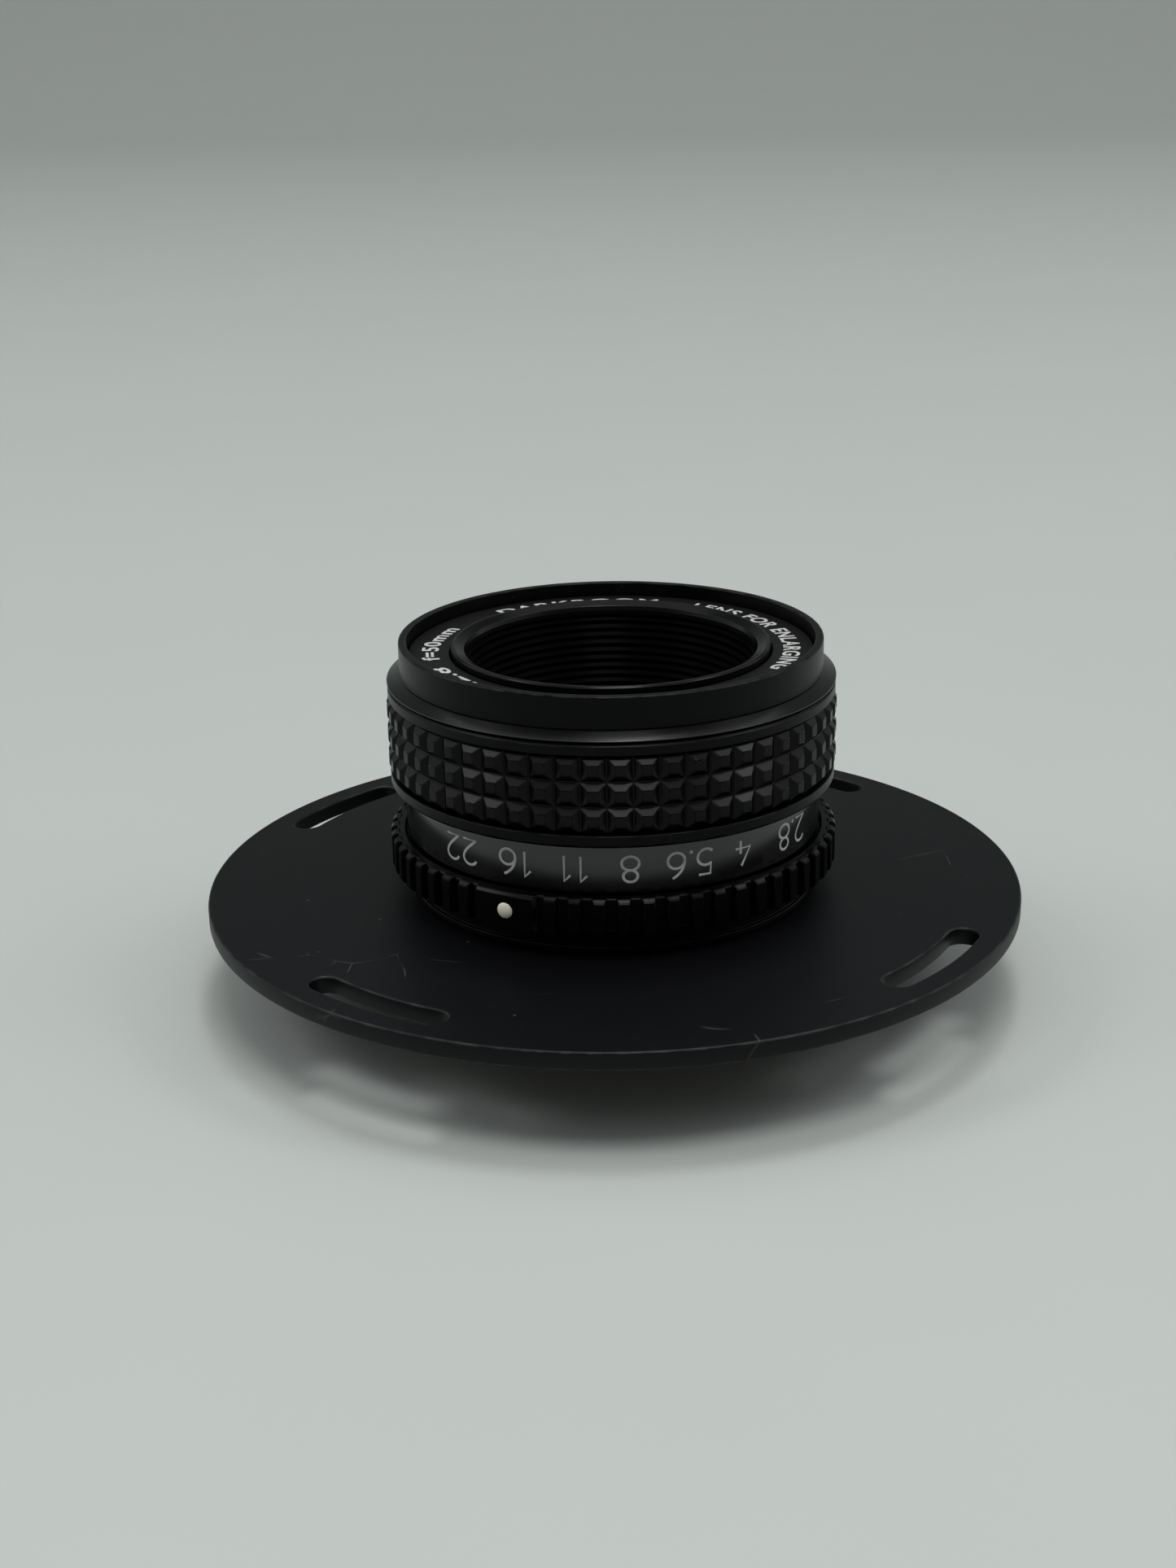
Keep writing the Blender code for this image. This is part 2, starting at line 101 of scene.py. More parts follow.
class GripSizes(bpy.types.PropertyGroup):
    """Rubber sleeve with rows of raised squares."""
    rows: IntProperty(name="Rows", description="Rows of squares up the sleeve", default=3, min=1)
    columns: IntProperty(name="Columns", description="Squares round the sleeve", default=56, min=8)
    first_angle: FloatProperty(name="First groove", description="Where a groove line lies",
                               default=math.radians(-91.4), subtype="ANGLE")
    depth: FloatProperty(name="Depth", description="Height of a square over the groove",
                         default=0.65 * MM, unit="LENGTH")
    groove: FloatProperty(name="Groove", description="Width of the line between squares",
                          default=0.14 * MM, unit="LENGTH")
    flat: FloatProperty(name="Flat", description="Width of a square's flat top",
                        default=1.15 * MM, unit="LENGTH")


class IndexSizes(bpy.types.PropertyGroup):
    """Notched index ring with its smooth pad."""
    ribs: IntProperty(name="Ribs", description="Ribs in a full turn", default=60, min=12)
    notch_angle: FloatProperty(name="Notch", description="Where a notch is centred",
                               default=math.radians(-90.6), subtype="ANGLE")
    rib_top: FloatProperty(name="Rib crest", description="Width of a rib at its crest",
                           default=1.22 * MM, unit="LENGTH")
    rib_foot: FloatProperty(name="Rib foot", description="Width of a rib at its foot",
                            default=1.62 * MM, unit="LENGTH")
    depth: FloatProperty(name="Depth", description="Depth of a notch", default=0.65 * MM,
                         unit="LENGTH")
    pad_angle: FloatProperty(name="Pad", description="Centre of the smooth pad",
                             default=math.radians(-117.6), subtype="ANGLE")
    pad_half: FloatProperty(name="Pad half width", description="Half the pad's angle",
                            default=math.radians(7.65), subtype="ANGLE")
    bead_angle: FloatProperty(name="Bead", description="Where the bead is set",
                              default=math.radians(-117.2), subtype="ANGLE")


class ScaleSizes(bpy.types.PropertyGroup):
    """Aperture numbers, read with the lens hanging front down."""
    height: FloatProperty(name="Height", description="Height of a figure", default=3.12 * MM,
                          unit="LENGTH")
    width: FloatProperty(name="Width", description="Width of a round figure", default=2.15 * MM,
                         unit="LENGTH")
    stroke: FloatProperty(name="Stroke", description="Width of the engraved line",
                          default=0.29 * MM, unit="LENGTH")
    space: FloatProperty(name="Space", description="Gap between figures", default=0.72 * MM,
                         unit="LENGTH")
    baseline: FloatProperty(name="Baseline", description="Feet of the figures below the lip",
                            default=1.10 * MM, unit="LENGTH")


class NameSizes(bpy.types.PropertyGroup):
    """Letters of the front ring."""
    height: FloatProperty(name="Letter height", description="Height of a capital",
                          default=1.85 * MM, unit="LENGTH")
    inset: FloatProperty(name="Letter inset", description="Feet of the letters from the bore",
                         default=1.22 * MM, unit="LENGTH")
    spacing: FloatProperty(name="Letter spacing", description="Spread between letters",
                           default=1.12, min=0.5)


class BaffleSizes(bpy.types.PropertyGroup):
    """Ridged mouth that keeps stray light off the glass."""
    ridges: IntProperty(name="Ridges", description="Ridges down the mouth", default=10, min=3)
    depth: FloatProperty(name="Ridge depth", description="Depth of a ridge", default=0.32 * MM,
                         unit="LENGTH")


class StageSettings(bpy.types.PropertyGroup):
    """Plain pale floor and soft light."""
    floor: colour_property("Floor", "Pale tabletop", (0.46, 0.483, 0.468))
    key: FloatProperty(name="Key", description="Ceiling light towards the viewer", default=5.5,
                       unit="POWER")
    back: FloatProperty(name="Back", description="Ceiling light behind the lens", default=5.0,
                        unit="POWER")
    side: FloatProperty(name="Sides", description="Ceiling lights left and right", default=3.0,
                        unit="POWER")
    sky: FloatProperty(name="Room", description="Light from the pale room", default=0.72)


# ---------------------------------------------------------------- shader groups and finishes

def socket_in(group, name, default, kind="NodeSocketFloat"):
    made = group.interface.new_socket(name, in_out="INPUT", socket_type=kind)
    if default is not None:
        made.default_value = default
    return made


def socket_out(group, name):
    return group.interface.new_socket(name, in_out="OUTPUT", socket_type="NodeSocketFloat")


def add_node(tree, kind, **settings):
    made = tree.nodes.new(kind)
    for key, value in settings.items():
        setattr(made, key, value)
    return made


def math_node(tree, operation, first, second=None, clamp=False):
    made = add_node(tree, "ShaderNodeMath", operation=operation, use_clamp=clamp)
    for slot, value in zip(made.inputs, (first, second)):
        if isinstance(value, bpy.types.NodeSocket):
            tree.links.new(value, slot)
        elif value is not None:
            slot.default_value = value
    return made.outputs[0]


def noise_node(tree, vector, scale, detail=2.0, roughness=0.5):
    made = add_node(tree, "ShaderNodeTexNoise")
    tree.links.new(vector, made.inputs["Vector"])
    for key, value in (("Scale", scale), ("Detail", detail), ("Roughness", roughness)):
        if isinstance(value, bpy.types.NodeSocket):
            tree.links.new(value, made.inputs[key])
        else:
            made.inputs[key].default_value = value
    return made.outputs["Fac"]


def ramp_node(tree, value, low, high):
    """0 below low, 1 above high; swapping them turns the mask round."""
    made = add_node(tree, "ShaderNodeMapRange", interpolation_type="SMOOTHSTEP")
    tree.links.new(value, made.inputs["Value"])
    made.inputs["From Min"].default_value = low
    made.inputs["From Max"].default_value = high
    return made.outputs["Result"]


def handling_group():
    """Dust specks, hairline scratches and rubbed edges, as one mask and one height."""
    name = "Handling wear"
    if name in bpy.data.node_groups:
        return bpy.data.node_groups[name]
    group = bpy.data.node_groups.new(name, "ShaderNodeTree")
    socket_in(group, "Vector", None, "NodeSocketVector")
    socket_in(group, "Rub", 0.0)
    socket_in(group, "Rub Amount", 0.5)
    socket_in(group, "Dust Scale", 700.0)
    socket_in(group, "Dust Amount", 0.3)
    socket_in(group, "Scratch Scale", 90.0)
    socket_in(group, "Scratch Amount", 0.2)
    socket_out(group, "Wear")
    socket_out(group, "Smudge")
    inputs = add_node(group, "NodeGroupInput").outputs
    outputs = add_node(group, "NodeGroupOutput").inputs

    speck = add_node(group, "ShaderNodeTexVoronoi")
    group.links.new(inputs["Vector"], speck.inputs["Vector"])
    group.links.new(inputs["Dust Scale"], speck.inputs["Scale"])
    near = ramp_node(group, speck.outputs["Distance"], 0.16, 0.06)
    pick = add_node(group, "ShaderNodeSeparateColor")
    group.links.new(speck.outputs["Color"], pick.inputs["Color"])
    chosen = ramp_node(group, pick.outputs["Red"], 0.965, 0.975)
    dust = math_node(group, "MULTIPLY", math_node(group, "MULTIPLY", near, chosen),
                     inputs["Dust Amount"])

    bent = add_node(group, "ShaderNodeTexNoise")
    group.links.new(inputs["Vector"], bent.inputs["Vector"])
    bent.inputs["Scale"].default_value = 40.0
    shift = add_node(group, "ShaderNodeVectorMath", operation="MULTIPLY_ADD")
    group.links.new(bent.outputs["Color"], shift.inputs[0])
    shift.inputs[1].default_value = (0.02, 0.02, 0.02)
    group.links.new(inputs["Vector"], shift.inputs[2])
    cells = add_node(group, "ShaderNodeTexVoronoi", feature="DISTANCE_TO_EDGE")
    group.links.new(shift.outputs[0], cells.inputs["Vector"])
    group.links.new(inputs["Scratch Scale"], cells.inputs["Scale"])
    hairline = ramp_node(group, cells.outputs["Distance"], 0.012, 0.004)
    patches = ramp_node(group, noise_node(group, inputs["Vector"], 130.0), 0.60, 0.72)
    scratch = math_node(group, "MULTIPLY", math_node(group, "MULTIPLY", hairline, patches),
                        inputs["Scratch Amount"])

    patchy = ramp_node(group, noise_node(group, inputs["Vector"], 520.0, 3.0), 0.35, 0.68)
    rubbed = math_node(group, "MULTIPLY", math_node(group, "MULTIPLY", inputs["Rub"], patchy),
                       inputs["Rub Amount"])
    wear = math_node(group, "MAXIMUM", math_node(group, "MAXIMUM", dust, scratch), rubbed)
    group.links.new(wear, outputs["Wear"])
    group.links.new(noise_node(group, inputs["Vector"], 55.0, 4.0, 0.6), outputs["Smudge"])
    return group


def grain_group():
    """Fine skin of a finish: blasted grain mixed with the rings that a lathe leaves."""
    name = "Skin grain"
    if name in bpy.data.node_groups:
        return bpy.data.node_groups[name]
    group = bpy.data.node_groups.new(name, "ShaderNodeTree")
    socket_in(group, "Vector", None, "NodeSocketVector")
    socket_in(group, "Grain Scale", 6000.0)
    socket_in(group, "Grain", 0.5)
    socket_in(group, "Rings", 0.5)
    socket_out(group, "Height")
    inputs = add_node(group, "NodeGroupInput").outputs
    outputs = add_node(group, "NodeGroupOutput").inputs
    grain = math_node(group, "MULTIPLY",
                      noise_node(group, inputs["Vector"], inputs["Grain Scale"], 2.0),
                      inputs["Grain"])
    parts = add_node(group, "ShaderNodeSeparateXYZ")
    group.links.new(inputs["Vector"], parts.inputs[0])
    across = math_node(group, "POWER", parts.outputs["X"], 2.0)
    along = math_node(group, "POWER", parts.outputs["Y"], 2.0)
    radius = math_node(group, "SQRT", math_node(group, "ADD", across, along))
    place = math_node(group, "ADD", radius, parts.outputs["Z"])
    line = add_node(group, "ShaderNodeCombineXYZ")
    group.links.new(place, line.inputs["X"])
    rings = math_node(group, "MULTIPLY", noise_node(group, line.outputs[0], 9000.0, 1.0),
                      inputs["Rings"])
    group.links.new(math_node(group, "ADD", grain, rings), outputs["Height"])
    return group


def place_group(tree, group, vector, **values):
    made = add_node(tree, "ShaderNodeGroup", node_tree=group)
    tree.links.new(vector, made.inputs["Vector"])
    for key, value in values.items():
        made.inputs[key.replace("_", " ")].default_value = value
    return made


def black_finish(name, colour, roughness, specular=0.5, coat=0.0, coat_roughness=0.1, rub=0.4,
                 dust=0.25, scratch=0.15, grain_scale=6000.0, grain=0.5, rings=0.5,
                 bump=0.2, bump_depth=0.004 * MM, smudge=0.10):
    """A dark finish with its wear, skin and smudged roughness."""
    if name in bpy.data.materials:
        return bpy.data.materials[name]
    finishes = bpy.context.scene.lens_finishes
    material = bpy.data.materials.new(name)
    material.use_nodes = True
    tree = material.node_tree
    shader = tree.nodes["Principled BSDF"]
    shader.inputs["Specular IOR Level"].default_value = specular
    shader.inputs["Coat Weight"].default_value = coat
    shader.inputs["Coat Roughness"].default_value = coat_roughness
    place = add_node(tree, "ShaderNodeTexCoord").outputs["Object"]
    wear = place_group(tree, handling_group(), place, Rub_Amount=rub, Dust_Amount=dust,
                       Scratch_Amount=scratch)
    edges = add_node(tree, "ShaderNodeAttribute", attribute_name="rub")
    tree.links.new(edges.outputs["Fac"], wear.inputs["Rub"])
    tint = add_node(tree, "ShaderNodeMix", data_type="RGBA")
    tint.inputs["A"].default_value = colour
    tint.inputs["B"].default_value = finishes.worn
    tree.links.new(wear.outputs["Wear"], tint.inputs["Factor"])
    tree.links.new(tint.outputs["Result"], shader.inputs["Base Color"])
    uneven = math_node(tree, "MULTIPLY_ADD", wear.outputs["Smudge"], smudge)
    uneven.node.inputs[2].default_value = roughness - smudge / 2
    tree.links.new(uneven, shader.inputs["Roughness"])
    skin = place_group(tree, grain_group(), place, Grain_Scale=grain_scale, Grain=grain,
                       Rings=rings)
    relief = add_node(tree, "ShaderNodeBump")
    relief.inputs["Strength"].default_value = bump
    relief.inputs["Distance"].default_value = bump_depth
    tree.links.new(skin.outputs["Height"], relief.inputs["Height"])
    tree.links.new(relief.outputs["Normal"], shader.inputs["Normal"])
    return material


def satin_black():
    colour = bpy.context.scene.lens_finishes.satin
    return black_finish("Satin black paint", colour, 0.33, specular=0.10, rub=0.30, rings=0.6)


def slope_black():
    colour = bpy.context.scene.lens_finishes.satin
    return black_finish("Turned black", colour, 0.20, specular=0.42, rub=0.10, grain=0.2,
                        rings=1.0, bump=0.5)


def ring_black():
    colour = bpy.context.scene.lens_finishes.satin
    return black_finish("Index ring black", colour, 0.24, specular=0.09, rub=0.30, grain=0.3,
                        rings=0.6)


def anodised_black():
    colour = bpy.context.scene.lens_finishes.anodised
    return black_finish("Black anodised plate", colour, 0.44, specular=0.18, rub=0.35, dust=0.80,
                        scratch=0.50, grain_scale=4200.0, grain=0.8, rings=0.15, bump=0.3)


def matte_black():
    colour = bpy.context.scene.lens_finishes.matte
    return black_finish("Matte black paint", colour, 0.50, specular=0.20, rub=0.15, dust=0.1,
                        scratch=0.0, rings=0.2)


def lip_black():
    colour = bpy.context.scene.lens_finishes.matte
    return black_finish("Mouth lip black", colour, 0.20, specular=0.14, rub=0.12, dust=0.1,
                        scratch=0.05, rings=0.5)


def mouth_black():
    colour = bpy.context.scene.lens_finishes.matte
    return black_finish("Mouth black", colour, 0.30, specular=0.008, rub=0.0, dust=0.0,
                        scratch=0.05, rings=0.5)


def gloss_black():
    colour = bpy.context.scene.lens_finishes.gloss
    return black_finish("Gloss black lacquer", colour, 0.13, specular=0.70, rub=0.2, dust=0.15,
                        scratch=0.10, grain=0.1, rings=0.8, bump=0.12, smudge=0.06)


def rubber_black():
    colour = bpy.context.scene.lens_finishes.rubber
    return black_finish("Grip rubber", colour, 0.25, specular=0.12, rub=0.03, dust=0.25,
                        scratch=0.0, grain_scale=9000.0, grain=1.0, rings=0.0, bump=0.35,
                        smudge=0.16)


def plain_finish(name, colour, roughness, metallic=0.0, grain_scale=5000.0, rings=0.3,
                 bump=0.15):
    """A light or metal finish with a fine skin and uneven roughness."""
    if name in bpy.data.materials:
        return bpy.data.materials[name]
    material = bpy.data.materials.new(name)
    material.use_nodes = True
    tree = material.node_tree
    shader = tree.nodes["Principled BSDF"]
    shader.inputs["Metallic"].default_value = metallic
    place = add_node(tree, "ShaderNodeTexCoord").outputs["Object"]
    cloud = noise_node(tree, place, 900.0, 3.0, 0.6)
    shade = add_node(tree, "ShaderNodeMix", data_type="RGBA")
    shade.inputs["A"].default_value = [c * 0.82 for c in colour[:3]] + [1.0]
    shade.inputs["B"].default_value = colour
    tree.links.new(ramp_node(tree, cloud, 0.3, 0.55), shade.inputs["Factor"])
    tree.links.new(shade.outputs["Result"], shader.inputs["Base Color"])
    uneven = math_node(tree, "MULTIPLY_ADD", cloud, 0.2)
    uneven.node.inputs[2].default_value = roughness - 0.1
    tree.links.new(uneven, shader.inputs["Roughness"])
    skin = place_group(tree, grain_group(), place, Grain_Scale=grain_scale, Rings=rings)
    relief = add_node(tree, "ShaderNodeBump")
    relief.inputs["Strength"].default_value = bump
    relief.inputs["Distance"].default_value = 0.004 * MM
    tree.links.new(skin.outputs["Height"], relief.inputs["Height"])
    tree.links.new(relief.outputs["Normal"], shader.inputs["Normal"])
    return material


def letter_paint():
    return plain_finish("White letter paint", bpy.context.scene.lens_finishes.lettering, 0.5)


def number_paint():
    return plain_finish("Grey number paint", bpy.context.scene.lens_finishes.numbers, 0.45)


def bead_plastic():
    return plain_finish("Cream bead", bpy.context.scene.lens_finishes.bead, 0.30, rings=0.0)


def brass_metal():
    return plain_finish("Oxidised brass", bpy.context.scene.lens_finishes.brass, 0.38, 1.0,
                        rings=0.8, bump=0.3)


def steel_metal():
    return plain_finish("Plain steel", bpy.context.scene.lens_finishes.steel, 0.28, 1.0)


def blade_metal():
    return plain_finish("Blackened blade steel", bpy.context.scene.lens_finishes.blades, 0.42,
                        0.8, rings=0.0)


def coated_glass():
    """Clear glass with a faint violet coating and a few dust specks on it."""
    name = "Coated glass"
    if name in bpy.data.materials:
        return bpy.data.materials[name]
    material = bpy.data.materials.new(name)
    material.use_nodes = True
    tree = material.node_tree
    shader = tree.nodes["Principled BSDF"]
    shader.inputs["Base Color"].default_value = bpy.context.scene.lens_finishes.glass
    shader.inputs["Transmission Weight"].default_value = 1.0
    shader.inputs["IOR"].default_value = 1.6
    shader.inputs["Specular Tint"].default_value = (0.62, 0.55, 0.95, 1.0)
    place = add_node(tree, "ShaderNodeTexCoord").outputs["Object"]
    wear = place_group(tree, handling_group(), place, Dust_Amount=0.5, Scratch_Amount=0.0,
                       Dust_Scale=900.0)
    haze = math_node(tree, "MULTIPLY", wear.outputs["Wear"], 0.5)
    tree.links.new(haze, shader.inputs["Roughness"])
    return material


# ---------------------------------------------------------------- mesh helpers

def rounded(corners, radius=ROUNDING, steps=4):
    """Round the corners of a closed outline; a corner is (r, z) or (r, z, its own radius).

    Gives (r, z, rub) points, where rub is 1 on a rounded outer edge and 0 on plain faces.
    """
    count = len(corners)
    area = sum(corners[i][0] * corners[(i + 1) % count][1]
               - corners[(i + 1) % count][0] * corners[i][1] for i in range(count))
    if area < 0:
        corners = corners[::-1]
    points = []
    for i, corner in enumerate(corners):
        here = Vector(corner[:2])
        before = Vector(corners[i - 1][:2]) - here
        after = Vector(corners[(i + 1) % count][:2]) - here
        own = corner[2] if len(corner) > 2 else radius
        if own <= 0 or corner[0] < 1e-9:
            points.append((*here, 0.0))
            continue
        reach = min(own, before.length * 0.42, after.length * 0.42)
        first, last = before.normalized(), after.normalized()
        outer = last.x * first.y - last.y * first.x > 0
        support = min(reach * 1.5, before.length * 0.48)
        points.append((*(here + first * support), 0.0))
        for step in range(steps + 1):
            s = step / steps
            spot = here + first * reach * (1 - s) ** 2 + last * reach * s ** 2
            points.append((*spot, 1.0 if outer and 0 < step < steps else 0.0))
        support = min(reach * 1.5, after.length * 0.48)
        points.append((*(here + last * support), 0.0))
    return points


def turn(name, points, steps=FINE_STEPS):
    """Revolve (r, z, rub) points about the lens axis; a point at r 0 becomes a pole."""
    verts, faces, rub, columns = [], [], [], []
    directions = [(math.cos(2 * math.pi * s / steps), math.sin(2 * math.pi * s / steps))
                  for s in range(steps)]
    for r, z, mark in points:
        if r < 1e-9:
            columns.append([len(verts)] * steps)
            verts.append((0.0, 0.0, z))
            rub.append(mark)
        else:
            columns.append(list(range(len(verts), len(verts) + steps)))
            verts += [(r * c, r * s, z) for c, s in directions]
            rub += [mark] * steps
    for j, column in enumerate(columns):
        upper = columns[(j + 1) % len(columns)]
        if column[0] == column[1] and upper[0] == upper[1]:
            continue
        for s in range(steps):
            t = (s + 1) % steps
            corners = [column[s], column[t], upper[t], upper[s]]
            faces.append(list(dict.fromkeys(corners)))
    mesh = bpy.data.meshes.new(name)
    mesh.from_pydata(verts, [], faces)
    marks = mesh.attributes.new("rub", "FLOAT", "POINT")
    marks.data.foreach_set("value", rub)
    soften(mesh)
    return mesh


def soften(mesh):
    mesh.shade_smooth()
    mesh.set_sharp_from_angle(angle=SHARP_ANGLE)


def mesh_of(form, name):
    """A bmesh as a smooth mesh with its faces pointing outwards."""
    bmesh.ops.recalc_face_normals(form, faces=form.faces)
    mesh = bpy.data.meshes.new(name)
    form.to_mesh(mesh)
    form.free()
    soften(mesh)
    return mesh


def add_object(name, data):
    made = bpy.data.objects.new(name, data)
    bpy.context.scene.collection.objects.link(made)
    return made


def add_piece(name, mesh, material, body, stands_for=()):
    """Put a finished mesh on its body, in its finish, in place of CAD nodes."""
    mesh.name = name
    mesh.materials.clear()
    mesh.materials.append(material)
    piece = add_object(name, mesh)
    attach(piece, body)
    if stands_for:
        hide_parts(*stands_for)
    return piece


def turned_piece(node, corners, material, body=FIXED, steps=FINE_STEPS, radius=ROUNDING):
    mesh = turn(node, rounded(corners, radius), steps)
    return add_piece(node + "_turned", mesh, material, body, (node,))


def evaluated(holder):
    """The holder's modified shape as a plain mesh; the holder itself is removed."""
    bpy.context.view_layer.update()
    shape = holder.evaluated_get(bpy.context.evaluated_depsgraph_get())
    mesh = bpy.data.meshes.new_from_object(shape)
    data = holder.data
    bpy.data.objects.remove(holder)
    if data.users == 0:
        (bpy.data.meshes if isinstance(data, bpy.types.Mesh) else bpy.data.curves).remove(data)
    return mesh


def cut_away(mesh, cutters):
    """Take closed cutter meshes out of a mesh."""
    holder = add_object("cut_holder", mesh)
    tools = [add_object(f"cutter_{i}", cutter) for i, cutter in enumerate(cutters)]
    for tool in tools:
        modifier = holder.modifiers.new(tool.name, "BOOLEAN")
        modifier.operation = "DIFFERENCE"
        modifier.object = tool
    result = evaluated(holder)
    for tool in tools:
        bpy.data.objects.remove(tool)
    soften(result)
    return result


def polar(radius, angle, height=0.0):
    return Vector((radius * math.cos(angle), radius * math.sin(angle), height))


def prism(outline, low, high, name="prism"):
    form = bmesh.new()
    base = form.faces.new([form.verts.new((p.x, p.y, low)) for p in outline])
    raised = bmesh.ops.extrude_face_region(form, geom=[base])["geom"]
    lift = [v for v in raised if isinstance(v, bmesh.types.BMVert)]
    bmesh.ops.translate(form, verts=lift, vec=(0.0, 0.0, high - low))
    return mesh_of(form, name)


def radial_matrix(angle, height):
    """Turns a shape made along +Z so that it points outwards at this angle and height."""
    return (Matrix.Translation((0.0, 0.0, height)) @ Matrix.Rotation(angle, 4, "Z")
            @ Matrix.Rotation(math.pi / 2, 4, "Y"))


# ---------------------------------------------------------------- geometry node trees

def tree_input(tree, name, kind, default=None):
    made = tree.interface.new_socket(name, in_out="INPUT", socket_type=kind)
    if default is not None:
        made.default_value = default
    return made


def end_tree(tree, geometry, material):
    """Realize Instances, then Set Material, then the output."""
    tree.interface.new_socket("Geometry", in_out="OUTPUT", socket_type="NodeSocketGeometry")
    real = add_node(tree, "GeometryNodeRealizeInstances")
    paint = add_node(tree, "GeometryNodeSetMaterial")
    tree.links.new(geometry, real.inputs["Geometry"])
    tree.links.new(real.outputs["Geometry"], paint.inputs["Geometry"])
    tree.links.new(material, paint.inputs["Material"])
    tree.links.new(paint.outputs["Geometry"], add_node(tree, "NodeGroupOutput").inputs[0])


def ring_tree():
    """Copies of one shape in rows round the lens axis, left out over one stretch."""
    name = "Copies round the axis"
    if name in bpy.data.node_groups:
        return bpy.data.node_groups[name]
    tree = bpy.data.node_groups.new(name, "GeometryNodeTree")
    tree.is_modifier = True
    tree_input(tree, "Shape", "NodeSocketObject")
    tree_input(tree, "Rows", "NodeSocketInt", 1)
    tree_input(tree, "Columns", "NodeSocketInt", 12)
    tree_input(tree, "First Angle", "NodeSocketFloat", 0.0)
    tree_input(tree, "Low", "NodeSocketFloat", 0.0)
    tree_input(tree, "Row Pitch", "NodeSocketFloat", 0.0)
    tree_input(tree, "Skip Angle", "NodeSocketFloat", 0.0)
    tree_input(tree, "Skip Half", "NodeSocketFloat", -1.0)
    tree_input(tree, "Material", "NodeSocketMaterial")
    inputs = add_node(tree, "NodeGroupInput").outputs
    count = math_node(tree, "MULTIPLY", inputs["Rows"], inputs["Columns"])
    points = add_node(tree, "GeometryNodePoints")
    tree.links.new(count, points.inputs["Count"])
    index = add_node(tree, "GeometryNodeInputIndex").outputs[0]
    row = math_node(tree, "FLOOR", math_node(tree, "DIVIDE", index, inputs["Columns"]))
    column = math_node(tree, "MODULO", index, inputs["Columns"])
    step = math_node(tree, "DIVIDE", 2 * math.pi, inputs["Columns"])
    angle = math_node(tree, "ADD", math_node(tree, "MULTIPLY", column, step),
                      inputs["First Angle"])
    height = math_node(tree, "ADD", math_node(tree, "MULTIPLY", row, inputs["Row Pitch"]),
                       inputs["Low"])
    spot = add_node(tree, "ShaderNodeCombineXYZ")
    tree.links.new(height, spot.inputs["Z"])
    lifted = add_node(tree, "GeometryNodeSetPosition")
    tree.links.new(points.outputs[0], lifted.inputs["Geometry"])
    tree.links.new(spot.outputs[0], lifted.inputs["Position"])
    turn_by = add_node(tree, "ShaderNodeCombineXYZ")
    tree.links.new(angle, turn_by.inputs["Z"])
    away = math_node(tree, "COSINE", math_node(tree, "SUBTRACT", angle, inputs["Skip Angle"]))
    edge = math_node(tree, "COSINE", inputs["Skip Half"])
    inside = math_node(tree, "GREATER_THAN", away, edge)
    asked = math_node(tree, "GREATER_THAN", inputs["Skip Half"], 0.0)
    kept = math_node(tree, "LESS_THAN", math_node(tree, "MULTIPLY", inside, asked), 0.5)
    shape = add_node(tree, "GeometryNodeObjectInfo")
    tree.links.new(inputs["Shape"], shape.inputs["Object"])
    copies = add_node(tree, "GeometryNodeInstanceOnPoints")
    tree.links.new(lifted.outputs[0], copies.inputs["Points"])
    tree.links.new(kept, copies.inputs["Selection"])
    tree.links.new(shape.outputs["Geometry"], copies.inputs["Instance"])
    tree.links.new(turn_by.outputs[0], copies.inputs["Rotation"])
    end_tree(tree, copies.outputs[0], inputs["Material"])
    return tree


def coil_tree():
    """A wire or thread ridge wound about +Z."""
    name = "Coil"
    if name in bpy.data.node_groups:
        return bpy.data.node_groups[name]
    tree = bpy.data.node_groups.new(name, "GeometryNodeTree")
    tree.is_modifier = True
    tree_input(tree, "Turns", "NodeSocketFloat", 4.0)
    tree_input(tree, "Radius", "NodeSocketFloat", 0.01)
    tree_input(tree, "Height", "NodeSocketFloat", 0.01)
    tree_input(tree, "Points Per Turn", "NodeSocketInt", 96)
    tree_input(tree, "Section Radius", "NodeSocketFloat", 0.0005)
    tree_input(tree, "Section Sides", "NodeSocketInt", 4)
    tree_input(tree, "Material", "NodeSocketMaterial")
    inputs = add_node(tree, "NodeGroupInput").outputs
    path = add_node(tree, "GeometryNodeCurveSpiral")
    tree.links.new(inputs["Points Per Turn"], path.inputs["Resolution"])
    tree.links.new(inputs["Turns"], path.inputs["Rotations"])
    tree.links.new(inputs["Radius"], path.inputs["Start Radius"])
    tree.links.new(inputs["Radius"], path.inputs["End Radius"])
    tree.links.new(inputs["Height"], path.inputs["Height"])
    section = add_node(tree, "GeometryNodeCurvePrimitiveCircle", mode="RADIUS")
    tree.links.new(inputs["Section Sides"], section.inputs["Resolution"])
    tree.links.new(inputs["Section Radius"], section.inputs["Radius"])
    body = add_node(tree, "GeometryNodeCurveToMesh")
    tree.links.new(path.outputs[0], body.inputs["Curve"])
    tree.links.new(section.outputs[0], body.inputs["Profile Curve"])
    body.inputs["Fill Caps"].default_value = True
    end_tree(tree, body.outputs[0], inputs["Material"])
    return tree


def grown(tree, **values):
    """Run a geometry node tree with these inputs and give back its plain mesh."""
    holder = add_object("grown", bpy.data.meshes.new("grown"))
    modifier = holder.modifiers.new("grown", "NODES")
    modifier.node_group = tree
    names = {item.name: item.identifier for item in tree.interface.items_tree
             if item.in_out == "INPUT"}
    for key, value in values.items():
        modifier[names[key.replace("_", " ")]] = value
    return evaluated(holder)


# ---------------------------------------------------------------- lettering

